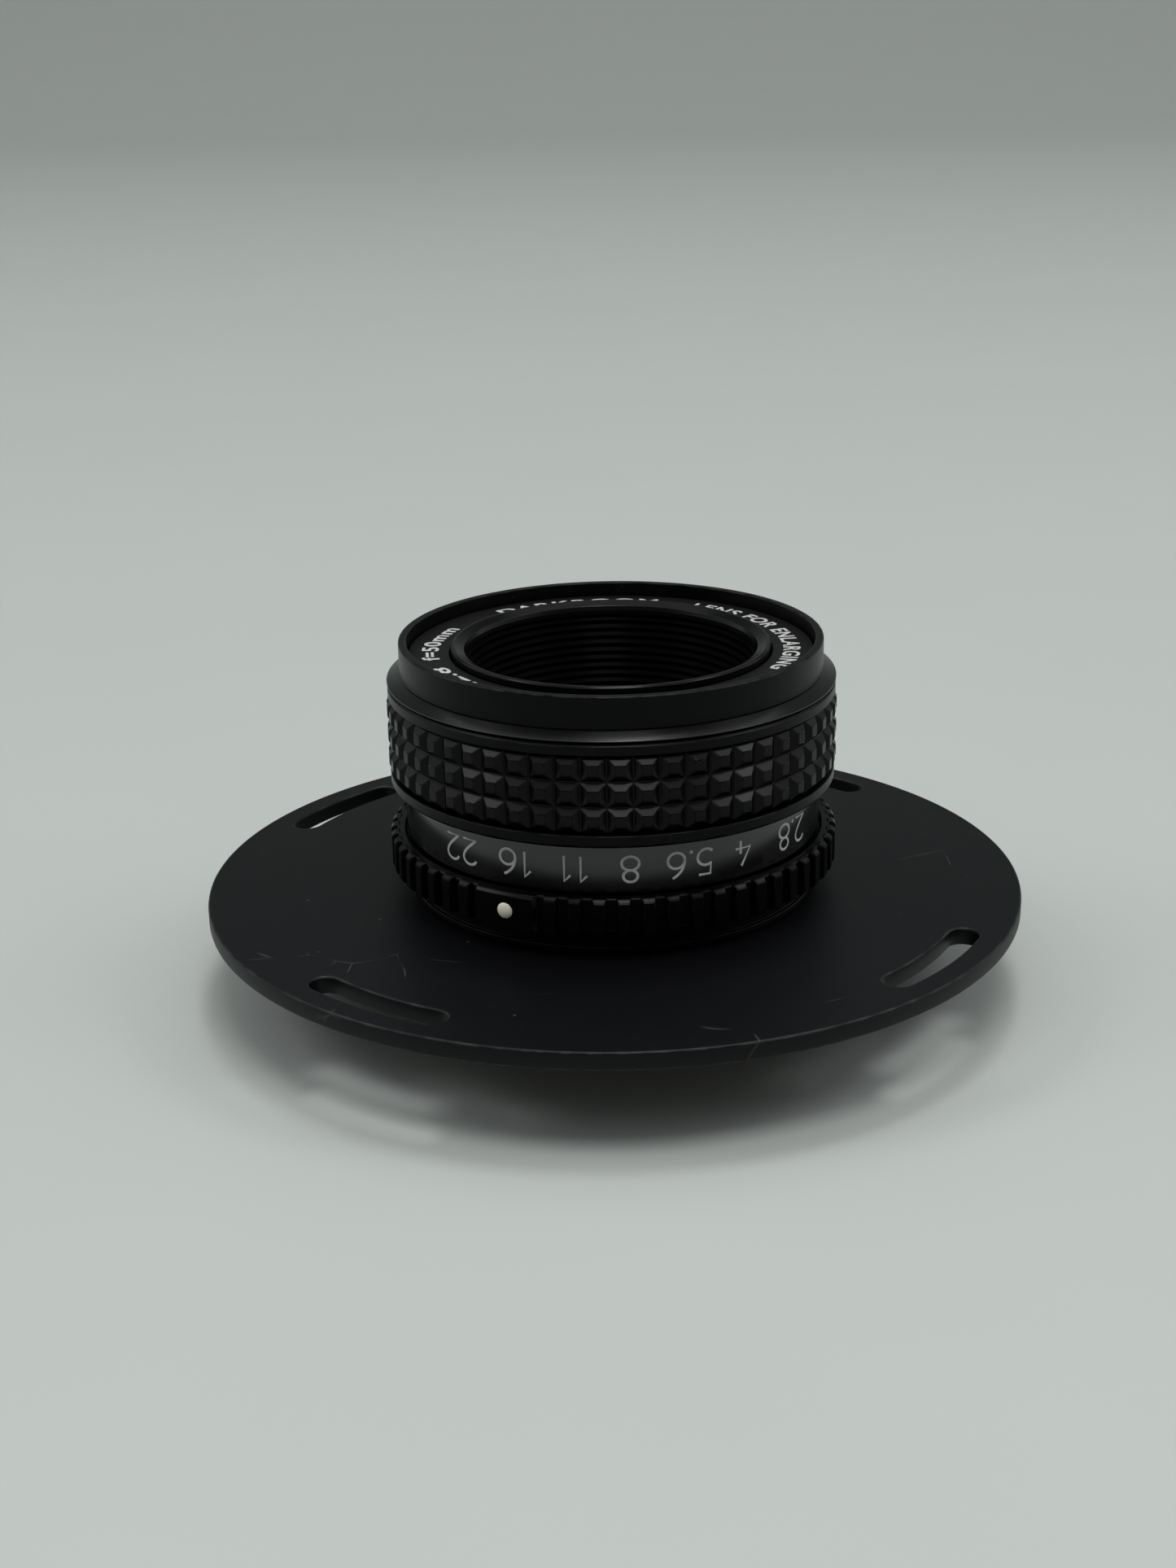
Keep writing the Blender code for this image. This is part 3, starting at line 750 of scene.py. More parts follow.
def ellipse(cx, cy, rx, ry, first, last, count=18):
    """Points on an ellipse arc, angles in degrees."""
    turn_by = [math.radians(first + (last - first) * i / (count - 1)) for i in range(count)]
    return [(cx + rx * math.cos(a), cy + ry * math.sin(a)) for a in turn_by]


def bend(start, control, end, count=10):
    steps = [i / (count - 1) for i in range(count)]
    return [tuple(a * (1 - s) ** 2 + 2 * b * s * (1 - s) + c * s ** 2
                  for a, b, c in zip(start, control, end)) for s in steps]


def figure_strokes(figure, w, h):
    """Single-line strokes of one figure, with its advance width."""
    if figure == ".":
        return [ellipse(0.0, 0.04 * h, 0.02 * h, 0.02 * h, 0, 360, 9)], 0.0
    if figure == "1":
        return [[(0.0, 0.76 * h), (0.36 * w, h), (0.36 * w, 0.0)]], 0.56 * w
    if figure == "2":
        top = ellipse(0.5 * w, 0.73 * h, 0.5 * w, 0.27 * h, 160, -25)
        return [top + bend(top[-1], (0.85 * w, 0.42 * h), (0.0, 0.0))[1:] + [(w, 0.0)]], w
    if figure == "4":
        return [[(0.62 * w, h), (0.0, 0.30 * h), (1.05 * w, 0.30 * h)],
                [(0.70 * w, 0.52 * h), (0.70 * w, 0.0)]], 1.05 * w
    if figure == "5":
        bowl = ellipse(0.48 * w, 0.32 * h, 0.52 * w, 0.32 * h, 128, -140)
        return [[(0.92 * w, h), (0.20 * w, h)] + bowl], w
    if figure == "6":
        return [ellipse(0.5 * w, 0.31 * h, 0.5 * w, 0.31 * h, 0, 360, 28),
                bend((0.0, 0.33 * h), (0.06 * w, 0.80 * h), (0.72 * w, h))], w
    return [ellipse(0.5 * w, 0.27 * h, 0.5 * w, 0.27 * h, 0, 360, 28),
            ellipse(0.5 * w, 0.77 * h, 0.41 * w, 0.23 * h, 0, 360, 26)], w


def stroke_mesh(strokes, half_width):
    """Round-ended lines in the XY plane, lying proud by their half width."""
    curve = bpy.data.curves.new("strokes", "CURVE")
    curve.dimensions = "3D"
    curve.bevel_depth = half_width
    curve.bevel_resolution = 1
    curve.use_fill_caps = True
    for stroke in strokes:
        closed = stroke[0] == stroke[-1] or math.dist(stroke[0], stroke[-1]) < 1e-7
        path = stroke[:-1] if closed else stroke
        line = curve.splines.new("POLY")
        line.points.add(len(path) - 1)
        line.use_cyclic_u = closed
        for point, (x, y) in zip(line.points, path):
            point.co = (x, y, 0.0, 1.0)
    return evaluated(add_object("strokes", curve))


def word_mesh(text, height):
    """Bold letters with capitals of this height, standing on y 0 from x 0."""
    curve = bpy.data.curves.new("word", "FONT")
    curve.body = text
    curve.size = 1.0
    curve.space_character = bpy.context.scene.lens_name.spacing
    curve.offset = 0.022
    curve.extrude = 0.02
    curve.resolution_u = 6
    mesh = evaluated(add_object("word", curve))
    low = min(v.co.x for v in mesh.vertices)
    top = max(v.co.y for v in mesh.vertices)
    scale = height / top
    mesh.transform(Matrix.Diagonal((scale, scale, scale, 1.0))
                   @ Matrix.Translation((-low, 0.0, 0.0)))
    return mesh


def joined(meshes, name):
    form = bmesh.new()
    for mesh in meshes:
        form.from_mesh(mesh)
        bpy.data.meshes.remove(mesh)
    result = bpy.data.meshes.new(name)
    form.to_mesh(result)
    form.free()
    return result


# ---------------------------------------------------------------- operators: fixed pieces

class LENS_OT_board(bpy.types.Operator):
    """Lens board: a thin disc with a centre bore and four arc slots"""
    bl_idname = "lens.board"
    bl_label = "Lens board"

    SLOT_CENTRES = (-126.0, -36.0, 54.0, 144.0)
    SLOT_HALF_ANGLE = 9.83
    SLOT_WIDTH = 3.33 * MM
    SLOT_FROM_EDGE = 4.365 * MM
    BORE_GAP = 0.25 * MM
    CHAMFER = 0.28 * MM
    LEVEL = 0.999

    def slot_outline(self, middle_r, centre):
        half, step = self.SLOT_WIDTH / 2 + self.CHAMFER, 16
        first, last = (math.radians(centre + side * self.SLOT_HALF_ANGLE) for side in (-1, 1))
        angles = [first + (last - first) * i / step for i in range(step + 1)]
        outline = [polar(middle_r + half, a) for a in angles]
        outline += [polar(middle_r, last) + polar(half, last + math.pi * i / 12)
                    for i in range(1, 12)]
        outline += [polar(middle_r - half, a) for a in reversed(angles)]
        outline += [polar(middle_r, first) + polar(half, first + math.pi + math.pi * i / 12)
                    for i in range(1, 12)]
        return outline

    def execute(self, context):
        low, high, radius = span("lens_board")
        bore = span("main_barrel")[2]
        curve = bpy.data.curves.new("board", "CURVE")
        curve.dimensions = "2D"
        curve.fill_mode = "BOTH"
        curve.extrude = (high - low) / 2 - self.CHAMFER
        curve.bevel_depth = self.CHAMFER
        curve.bevel_resolution = 2
        thread_r = bore - 3.35 * MM
        outlines = [
            [polar(radius - self.CHAMFER, 2 * math.pi * i / 360) for i in range(360)],
            [polar(thread_r + self.BORE_GAP + self.CHAMFER, 2 * math.pi * i / 180)
             for i in range(180)],
        ]
        outlines += [self.slot_outline(radius - self.SLOT_FROM_EDGE, c)
                     for c in self.SLOT_CENTRES]
        for outline in outlines:
            line = curve.splines.new("POLY")
            line.points.add(len(outline) - 1)
            line.use_cyclic_u = True
            for point, spot in zip(line.points, outline):
                point.co = (spot.x, spot.y, 0.0, 1.0)
        mesh = evaluated(add_object("board", curve))
        mesh.transform(Matrix.Translation((0.0, 0.0, (low + high) / 2)))
        form = bmesh.new()
        form.from_mesh(mesh)
        bmesh.ops.remove_doubles(form, verts=form.verts, dist=0.001 * MM)
        mark = form.verts.layers.float.new("rub")
        for vert in form.verts:
            from_face = min(vert.co.z - low, high - vert.co.z)
            vert[mark] = 1.0 if 0.02 * MM < from_face < self.CHAMFER * 0.9 else 0.0
        plate = mesh_of(form, "board")
        for face in plate.polygons:
            if abs(face.normal.z) > self.LEVEL:
                face.use_smooth = False
        bpy.data.meshes.remove(mesh)
        add_piece("lens_board_plate", plate, anodised_black(), FIXED,
                  ("lens_board",))
        return {"FINISHED"}


class LENS_OT_jam_ring(bpy.types.Operator):
    """Jam ring below the board, with four spanner notches"""
    bl_idname = "lens.jam_ring"
    bl_label = "Jam ring"

    def execute(self, context):
        low, high, radius = span("jam_ring")
        bore = radius - 4.7 * MM
        ring = turn("jam", rounded([(bore, low), (radius, low), (radius, high), (bore, high)],
                                   0.25 * MM))
        half, depth = 1.5 * MM, 1.2 * MM
        middle = (bore + radius) / 2
        cutters = []
        for number in range(4):
            angle = math.radians(45 + 90 * number)
            outline = [Vector((middle - 5 * MM, -half)), Vector((middle + 5 * MM, -half)),
                       Vector((middle + 5 * MM, half)), Vector((middle - 5 * MM, half))]
            cutter = prism(outline, low - depth, low + depth)
            cutter.transform(Matrix.Rotation(angle, 4, "Z"))
            cutters.append(cutter)
        add_piece("jam_ring_turned", cut_away(ring, cutters), brass_metal(), FIXED,
                  ("jam_ring",))
        return {"FINISHED"}


class LENS_OT_barrel(bpy.types.Operator):
    """Main barrel with its seat on the board, and the screw thread below it"""
    bl_idname = "lens.barrel"
    bl_label = "Main barrel"

    THREAD_PITCH = 0.977 * MM
    THREAD_DEPTH = 0.50 * MM

    def execute(self, context):
        low, high, flange = span("main_barrel")
        board_top = span("lens_board")[1]
        index_low = span("index_ring")[0]
        floor = span("rear_cell")[1] + 0.1 * MM
        thread_r, wall_r = flange - 3.35 * MM, flange - 1.0 * MM
        root_r = thread_r - self.THREAD_DEPTH
        bore_r, chamber_r = span("rear_cell")[2] - 2.1 * MM, span("iris_plate")[2] + 0.2 * MM
        seat = board_top + 0.25 * MM
        step = seat + 0.6 * MM
        mesh = turn("barrel", rounded([
            (bore_r, low), (root_r, low), (root_r, seat), (flange, seat), (flange, step),
            (flange - 0.4 * MM, step), (flange - 0.4 * MM, index_low - 0.2 * MM),
            (wall_r, index_low - 0.2 * MM), (wall_r, high), (chamber_r, high),
            (chamber_r, floor), (bore_r, floor),
        ]))
        screw_low, screw_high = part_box("drive_screw")
        screw_z = (screw_low.z + screw_high.z) / 2
        first, last = math.radians(-57.0), math.radians(50.5)
        angles = [first + (last - first) * i / 40 for i in range(41)]
        window = [polar(wall_r + 2 * MM, a) for a in angles]
        window += [polar(chamber_r - MM, a) for a in reversed(angles)]
        cutter = prism(window, screw_z - MM, screw_z + MM)
        add_piece("main_barrel_turned", cut_away(mesh, [cutter]), satin_black(), FIXED,
                  ("main_barrel",))
        turns = (seat - low) / self.THREAD_PITCH - 1.2
        section = self.THREAD_DEPTH * 0.98
        thread = grown(coil_tree(), Turns=turns, Radius=root_r, Height=turns * self.THREAD_PITCH,
                       Section_Radius=section, Section_Sides=4, Points_Per_Turn=120,
                       Material=satin_black())
        thread.transform(Matrix.Translation((0.0, 0.0, low + 0.6 * self.THREAD_PITCH)))
        add_piece("mount_thread", thread, satin_black(), FIXED)
        return {"FINISHED"}


class LENS_OT_index_ring(bpy.types.Operator):
    """Notched index ring, its smooth pad and the cream bead"""
    bl_idname = "lens.index_ring"
    bl_label = "Index ring"

    CHAMFER = 0.30 * MM

    def rib(self, sizes, foot_r, crest_r, low, high):
        """One rib, made at angle 0: foot inside the ring, crest outside, ends chamfered."""
        form = bmesh.new()
        rows = []
        inner = foot_r - 0.3 * MM
        levels = ((low, self.CHAMFER), (low + self.CHAMFER, 0.0), (high - self.CHAMFER, 0.0),
                  (high, self.CHAMFER))
        for z, back in levels:
            spots = ((inner, -sizes.rib_foot / 2), (foot_r, -sizes.rib_foot / 2),
                     (crest_r - back, -sizes.rib_top / 2), (crest_r - back, sizes.rib_top / 2),
                     (foot_r, sizes.rib_foot / 2), (inner, sizes.rib_foot / 2))
            rows.append([form.verts.new((x, y, z)) for x, y in spots])
        for lower, upper in zip(rows, rows[1:]):
            for i in range(6):
                j = (i + 1) % 6
                form.faces.new((lower[i], lower[j], upper[j], upper[i]))
        form.faces.new(rows[0][::-1])
        form.faces.new(rows[-1])
        crests = [e for e in form.edges
                  if all((v.co.x ** 2 + v.co.y ** 2) ** 0.5 > foot_r + 0.1 * MM for v in e.verts)]
        bmesh.ops.bevel(form, geom=crests, offset=0.07 * MM, segments=2, affect="EDGES")
        mark = form.verts.layers.float.new("rub")
        for vert in form.verts:
            outer = vert.co.x > foot_r + 0.1 * MM
            vert[mark] = 1.0 if outer and vert.co.z > high - self.CHAMFER * 0.8 else 0.0
        return mesh_of(form, "rib")

    def pad(self, sizes, foot_r, crest_r, low, high):
        """The smooth stretch between two notches."""
        outline = rounded([(foot_r - 0.3 * MM, low), (crest_r - self.CHAMFER, low),
                           (crest_r, low + self.CHAMFER), (crest_r, high - self.CHAMFER),
                           (crest_r - self.CHAMFER, high), (foot_r - 0.3 * MM, high)],
                          0.06 * MM)
        steps = 24
        form = bmesh.new()
        mark = form.verts.layers.float.new("rub")
        columns = []
        for step in range(-steps, steps + 1):
            share = step / steps
            slope = (crest_r - foot_r) * (0.32 / 0.65)
            column = []
            for r, z, rub in outline:
                reach = sizes.pad_half
                tilt = slope * min(1.0, max(0.0, (crest_r - r) / (crest_r - foot_r))) / r
                spot = polar(r, sizes.pad_angle + share * (reach + tilt), z)
                vert = form.verts.new(spot)
                vert[mark] = rub
                column.append(vert)
            columns.append(column)
        for near, far in zip(columns, columns[1:]):
            for j in range(len(near)):
                k = (j + 1) % len(near)
                form.faces.new((near[j], far[j], far[k], near[k]))
        form.faces.new(columns[0])
        form.faces.new(columns[-1][::-1])
        return mesh_of(form, "pad")

    def execute(self, context):
        sizes = context.scene.lens_index
        low, high, crest_r = span("index_ring")
        low_corner, high_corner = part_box("index_ring")
        crest_r = max(high_corner.x, -low_corner.y, crest_r)
        bore_r = span("main_barrel")[2] - 0.75 * MM
        foot_r = crest_r - sizes.depth
        lip = 1.55 * MM
        turned_piece("index_ring", [
            (bore_r, low), (foot_r - 0.6 * MM, low), (foot_r, low + 0.45 * MM),
            (foot_r, high - 0.12 * MM), (foot_r - 0.10 * MM, high), (crest_r - lip, high),
            (crest_r - lip - 0.2 * MM, high - 0.5 * MM), (bore_r, high - 0.5 * MM),
        ], ring_black())
        rib = add_object("rib", self.rib(sizes, foot_r, crest_r, low, high))
        first = sizes.notch_angle + math.pi / sizes.ribs
        ribs = grown(ring_tree(), Shape=rib, Rows=1, Columns=sizes.ribs, First_Angle=first,
                     Skip_Angle=sizes.pad_angle, Skip_Half=sizes.pad_half,
                     Material=ring_black())
        bpy.data.objects.remove(rib)
        soften(ribs)
        add_piece("index_ring_ribs", ribs, ring_black(), FIXED)
        pad = self.pad(sizes, foot_r, crest_r, low, high)
        add_piece("index_ring_pad", pad, ring_black(), FIXED)

        bead_low, bead_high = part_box("index_bead")
        bead_r = (bead_high.z - bead_low.z) / 2
        dome = 0.42 * MM
        outline = [(0.0, 0.0, 0.0), (bead_r, 0.0, 0.0)]
        outline += [(bead_r * math.cos(a), 0.9 * MM + dome * math.sin(a), 0.0)
                    for a in (math.pi / 2 * i / 10 for i in range(10))]
        outline.append((0.0, 0.9 * MM + dome, 0.0))
        bead = turn("bead", outline, 48)
        bead.transform(radial_matrix(sizes.bead_angle, (bead_low.z + bead_high.z) / 2)
                       @ Matrix.Translation((0.0, 0.0, crest_r - 1.02 * MM)))
        add_piece("index_bead_domed", bead, bead_plastic(), FIXED,
                  ("index_bead",))
        return {"FINISHED"}


class LENS_OT_front_shell(bpy.types.Operator):
    """Front shell with its sloped shoulder and thin rim"""
    bl_idname = "lens.front_shell"
    bl_label = "Front shell"

    SLOPE_WIDTH = 1.43 * MM
    SLOPE_RISE = 0.70 * MM
    RIM_WALL = 0.90 * MM

    def execute(self, context):
        low, high, flange = span("front_barrel")
        ledge = span("name_ring")[0] - 0.2 * MM
        inner = span("name_ring")[2] - 4.45 * MM
        shoulder = span("grip_ring")[1] + 0.3 * MM
        tube_r, tube_bore = flange - 3.3 * MM, flange - 5.6 * MM
        rim_r = flange - self.SLOPE_WIDTH
        rim_bore, relief = rim_r - self.RIM_WALL, rim_r - 0.2 * MM
        foot = shoulder + 0.1 * MM
        top = foot + self.SLOPE_RISE
        turned_piece("front_barrel", [
            (tube_bore, low), (tube_r, low), (tube_r, foot), (relief, foot), (relief, top),
            (rim_r, top + 0.1 * MM, 0.04 * MM), (rim_r, high, 0.22 * MM),
            (rim_bore, high, 0.16 * MM), (rim_bore, ledge), (inner, ledge),
            (inner, ledge - 0.8 * MM), (tube_bore, ledge - 0.8 * MM),
        ], satin_black(), steps=320)
        slope = turn("slope", rounded([
            (tube_r - 0.2 * MM, shoulder), (flange, shoulder, 0.03 * MM),
            (flange, foot, 0.04 * MM), (rim_r - 0.05 * MM, top, 0.03 * MM),
            (relief - 0.1 * MM, top, 0.03 * MM), (relief - 0.1 * MM, foot + 0.1 * MM),
            (tube_r - 0.2 * MM, foot + 0.1 * MM),
        ]), 320)
        add_piece("front_shoulder", slope, slope_black(), FIXED)
        return {"FINISHED"}


class LENS_OT_name_ring(bpy.types.Operator):
    """Flat ring with plain generic lettering"""
    bl_idname = "lens.name_ring"
    bl_label = "Name ring"

    WORDS = (("1:2.8", -145.5, 27.0), ("f=50mm", 173.0, 38.0), ("DARKROOM", 102.0, 56.0),
             ("LENS FOR ENLARGING", 16.5, 88.0))

    def execute(self, context):
        sizes = context.scene.lens_name
        low, high, radius = span("name_ring")
        bore = radius - 4.5 * MM
        turned_piece("name_ring", [(bore, low), (radius, low), (radius, high), (bore, high)],
                     matte_black(), radius=0.08 * MM)
        feet_r = bore + sizes.inset
        words = []
        for text, centre, reach in self.WORDS:
            mesh = word_mesh(text, sizes.height)
            length = max(v.co.x for v in mesh.vertices)
            for vert in mesh.vertices:
                x, y, z = vert.co
                angle = math.radians(centre - reach * (x / length - 0.5))
                vert.co = polar(feet_r + y, angle, high + 0.012 * MM + z * 0.2)
            words.append(mesh)
        add_piece("name_ring_letters", joined(words, "letters"), letter_paint(), FIXED)
        return {"FINISHED"}


class LENS_OT_mouth(bpy.types.Operator):
    """Mouth ring whose ridged bore keeps stray light off the glass"""
    bl_idname = "lens.mouth"
    bl_label = "Mouth"

    BEVEL_INSET = 1.45 * MM
    CONE_INSET = 1.85 * MM
    THROAT_INSET = 3.8 * MM
    LIP_HEIGHT = 0.95 * MM
    FIRST_RIDGE = 1.35 * MM

    def execute(self, context):
        sizes = context.scene.lens_baffle
        low, high, radius = span("front_baffle")
        bevel_r, cone_r = radius - self.BEVEL_INSET, radius - self.CONE_INSET
        throat_r, seam = radius - self.THROAT_INSET, high - self.LIP_HEIGHT
        bore_start_r = cone_r + 0.18 * MM
        corners = [(throat_r, low, 0.05 * MM), (radius, low), (radius, seam),
                   (bore_start_r, seam, 0.03 * MM)]
        first, last = high - self.FIRST_RIDGE, low + 0.5 * MM
        pitch = (first - last) / sizes.ridges
        ridges = []
        for ridge in range(sizes.ridges):
            z = first - ridge * pitch
            share = (first - z) / (first - last)
            edge_r = cone_r + (throat_r - cone_r) * share
            ridges += [(edge_r + (sizes.depth if ridge else 0.0), z, 0.04 * MM),
                       (edge_r + sizes.depth, z - 0.35 * pitch, 0.04 * MM),
                       (edge_r - 0.04 * MM, z - 0.78 * pitch, 0.06 * MM),
                       (edge_r - 0.04 * MM, z - 0.92 * pitch, 0.06 * MM)]
        turned_piece("front_baffle", corners + ridges, mouth_black(),
                     radius=0.12 * MM)
        lip = turn("lip", rounded([
            (radius, seam + 0.01 * MM), (radius, high - 0.20 * MM, 0.08 * MM),
            (radius - 0.20 * MM, high, 0.08 * MM), (radius - 0.45 * MM, high, 0.06 * MM),
            (bevel_r, high - 0.45 * MM, 0.05 * MM), (bore_start_r, seam + 0.01 * MM, 0.03 * MM),
        ], ROUNDING), FINE_STEPS)
        add_piece("mouth_lip", lip, lip_black(), FIXED)
        return {"FINISHED"}


class LENS_OT_cells(bpy.types.Operator):
    """Front and rear cells, their spacers and the rings that hold the glass"""
    bl_idname = "lens.cells"
    bl_label = "Cells"

    def execute(self, context):
        low, high, flange = span("front_cell")
        tube_r, body_r = flange - 6.7 * MM, flange - 2.0 * MM
        glass_r, front_r = span("front_doublet_outer")[2], span("front_element")[2]
        turned_piece("front_cell", [
            (glass_r - 1.2 * MM, low), (tube_r, low), (tube_r, low + 5.0 * MM),
            (body_r, low + 5.0 * MM), (body_r, low + 6.5 * MM), (flange, low + 6.5 * MM),
            (flange, low + 7.7 * MM), (body_r, low + 7.7 * MM), (body_r, high),
            (front_r + 1.6 * MM, high), (front_r + 1.5 * MM, high - 0.3 * MM),
            (front_r + 0.9 * MM, high - 0.3 * MM), (front_r + 0.15 * MM, high - 0.5 * MM),
            (front_r + 0.15 * MM, low + 5.9 * MM), (glass_r + 0.15 * MM, low + 5.9 * MM),
            (glass_r + 0.15 * MM, low + 0.9 * MM), (glass_r - 1.2 * MM, low + 0.9 * MM),
        ], matte_black())

        low, high, radius = span("front_spacer")
        turned_piece("front_spacer", [
            (radius - 2.0 * MM, low), (radius - 1.55 * MM, low),
            (radius - 1.55 * MM, low + 0.55 * MM), (radius, low + 0.55 * MM), (radius, high),
            (radius - 2.0 * MM, high),
        ], matte_black(), steps=120, radius=0.05 * MM)

        low, high, radius = span("front_retainer")
        ring = turn("front_retainer", rounded([
            (radius - 0.8 * MM, low), (radius, low), (radius, high), (radius - 0.5 * MM, high),
        ], 0.05 * MM))
        cutters = []
        for angle in (0.0, math.pi):
            outline = [Vector((radius - 2 * MM, -0.5 * MM)), Vector((radius + MM, -0.5 * MM)),
                       Vector((radius + MM, 0.5 * MM)), Vector((radius - 2 * MM, 0.5 * MM))]
            cutter = prism(outline, high - 0.4 * MM, high + MM)
            cutter.transform(Matrix.Rotation(angle + 0.4, 4, "Z"))
            cutters.append(cutter)
        add_piece("front_retainer_turned", cut_away(ring, cutters), mouth_black(), FIXED,
                  ("front_retainer",))

        low, high, radius = span("rear_cell")
        last_r, doublet_r = span("rear_element")[2], span("rear_doublet_outer")[2]
        grooves = []
        for groove in range(3):
            z = low + (0.5 + 0.55 * groove) * MM
            r = radius - 3.2 * MM - (z - low) * 1.18
            grooves += [(r, z, 0.03 * MM), (r + 0.22 * MM, z + 0.12 * MM, 0.03 * MM)]
        turned_piece("rear_cell", [
            (radius - 3.2 * MM, low), (radius, low, 0.2 * MM), (radius, low + 4.7 * MM, 0.2 * MM),
            (radius - 2.3 * MM, low + 4.7 * MM), (radius - 2.3 * MM, high),
            (doublet_r + 0.15 * MM, high), (doublet_r + 0.15 * MM, low + 7.7 * MM),
            (last_r - 1.8 * MM, low + 7.7 * MM), (last_r - 1.8 * MM, low + 6.9 * MM),
            (last_r + 0.2 * MM, low + 6.9 * MM), (last_r + 0.2 * MM, low + 2.2 * MM),
        ] + grooves[::-1], satin_black())

        low, high, radius = span("rear_spacer")
        turned_piece("rear_spacer", [
            (radius - 0.9 * MM, low), (radius, low), (radius, high), (radius - 0.5 * MM, high),
        ], matte_black(), steps=120, radius=0.05 * MM)
        low, high, radius = span("rear_retainer")
        turned_piece("rear_retainer", [
            (radius - 0.8 * MM, low), (radius, low), (radius, high), (radius - 0.8 * MM, high),
        ], mouth_black(), steps=160, radius=0.08 * MM)
        return {"FINISHED"}


class LENS_OT_glass(bpy.types.Operator):
    """Six glass elements in four groups"""
    bl_idname = "lens.glass"
    bl_label = "Glass"

    SURFACES = {
        "front_element": ((26.9, -90.0, 1.0), (29.3, -36.0, 1.0)),
        "front_doublet_outer": ((24.1, -80.0, 1.0), (26.7, -22.0, 1.0)),
        "front_doublet_inner": ((22.94, -14.0, 0.816), (24.02, -80.0, 1.0)),
        "rear_doublet_inner": ((11.35, 0.0, 1.0), (12.45, 13.0, 0.826)),
        "rear_doublet_outer": ((7.9, 18.0, 1.0), (11.27, 0.0, 1.0)),
        "rear_element": ((3.2, 30.0, 1.0), (7.5, -60.0, 1.0)),
    }

    def surface(self, vertex, curvature, reach, count=16):
        """Points from the axis out; a negative curvature bulges upwards."""
        points = []
        for i in range(count + 1):
            r = reach * i / count
            drop = 0.0
            if curvature:
                bend_r = abs(curvature) * MM
                drop = math.copysign(bend_r - math.sqrt(bend_r ** 2 - r ** 2), curvature)
            points.append((r, vertex * MM + drop, 0.0))
        return points

    def execute(self, context):
        for node, (below, above) in self.SURFACES.items():
            radius = span(node)[2]
            lower = self.surface(below[0], below[1], radius * below[2])
            upper = self.surface(above[0], above[1], radius * above[2])
            if below[2] < 1.0:
                lower.append((radius, lower[-1][1], 0.0))
            if above[2] < 1.0:
                upper.append((radius, upper[-1][1], 0.0))
            mesh = turn(node, lower + upper[::-1], 96)
            add_piece(node + "_polished", mesh, coated_glass(), FIXED, (node,))
        return {"FINISHED"}


class LENS_OT_iris(bpy.types.Operator):
    """Iris plate, retainer, cam ring and blades"""
    bl_idname = "lens.iris"
    bl_label = "Iris"

    PIVOT_INSET = 2.1 * MM
    PIVOT_HOLE = 0.45 * MM

    def pivot_holes(self, radius, low, high):
        """One cutter for each blade's pivot, evenly round the plate."""
        blades = sum(node.startswith("iris_blade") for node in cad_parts)
        holes = []
        for blade in range(blades):
            centre = polar(radius - self.PIVOT_INSET, 2 * math.pi * blade / blades)
            outline = [centre + polar(self.PIVOT_HOLE, 2 * math.pi * (i + 0.4) / 16)
                       for i in range(16)]
            holes.append(prism(outline, low - MM, high + MM, "pivot_hole"))
        return holes

    def execute(self, context):
        for node, bore_share in (("iris_plate", 8.7), ("iris_retainer", 4.4)):
            low, high, radius = span(node)
            bore = radius - bore_share * MM
            ring = turn(node, rounded([(bore, low), (radius, low), (radius, high), (bore, high)],
                                      0.06 * MM), 160)
            if node == "iris_plate":
                ring = cut_away(ring, self.pivot_holes(radius, low, high))
            add_piece(node + "_turned", ring, matte_black(), FIXED, (node,))
        for node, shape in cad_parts.items():
            if node.startswith("iris_blade"):
                shape.data.materials.clear()
                shape.data.materials.append(blade_metal())
        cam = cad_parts["cam_ring"]
        cam.data.materials.clear()
        cam.data.materials.append(brass_metal())
        return {"FINISHED"}


class LENS_OT_click(bpy.types.Operator):
    """Click ball and spring in the barrel, and the screw that drives the iris"""
    bl_idname = "lens.click"
    bl_label = "Click and drive screw"

    def execute(self, context):
        low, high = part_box("click_ball")
        ball = bmesh.new()
        bmesh.ops.create_uvsphere(ball, u_segments=32, v_segments=20,
                                  radius=(high.x - low.x) / 2,
                                  matrix=Matrix.Translation((low + high) / 2))
        add_piece("click_ball_round", mesh_of(ball, "ball"), steel_metal(), FIXED,
                  ("click_ball",))
        low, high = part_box("click_spring")
        wire = 0.1 * MM
        height = high.x - low.x - 2 * wire
        spring = grown(coil_tree(), Turns=5.0, Radius=(high.y - low.y) / 2 - wire, Height=height,
                       Section_Radius=wire, Section_Sides=8, Points_Per_Turn=24,
                       Material=steel_metal())
        spring.transform(Matrix.Translation((high.x - wire, 0.0, (low.z + high.z) / 2))
                         @ Matrix.Rotation(-math.pi / 2, 4, "Y"))
        soften(spring)
        add_piece("click_spring_wound", spring, steel_metal(), FIXED,
                  ("click_spring",))
        low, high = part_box("drive_screw")
        angle, reach, shank = math.radians(30.0), 22.65 * MM, (high.z - low.z) / 2
        screw = turn("screw", rounded([
            (0.0, 16.3 * MM), (shank * 0.8, 16.3 * MM), (shank, 16.6 * MM), (shank, reach),
            (0.0, reach),
        ], 0.05 * MM), 48)
        slot = prism([Vector((-MM, -0.12 * MM)), Vector((MM, -0.12 * MM)),
                      Vector((MM, 0.12 * MM)), Vector((-MM, 0.12 * MM))],
                     reach - 0.4 * MM, reach + MM)
        screw = cut_away(screw, [slot])
        screw.transform(radial_matrix(angle, (low.z + high.z) / 2))
        add_piece("drive_screw_slotted", screw, steel_metal(), TURNING,
                  ("drive_screw",))
        return {"FINISHED"}


# ---------------------------------------------------------------- operators: aperture ring

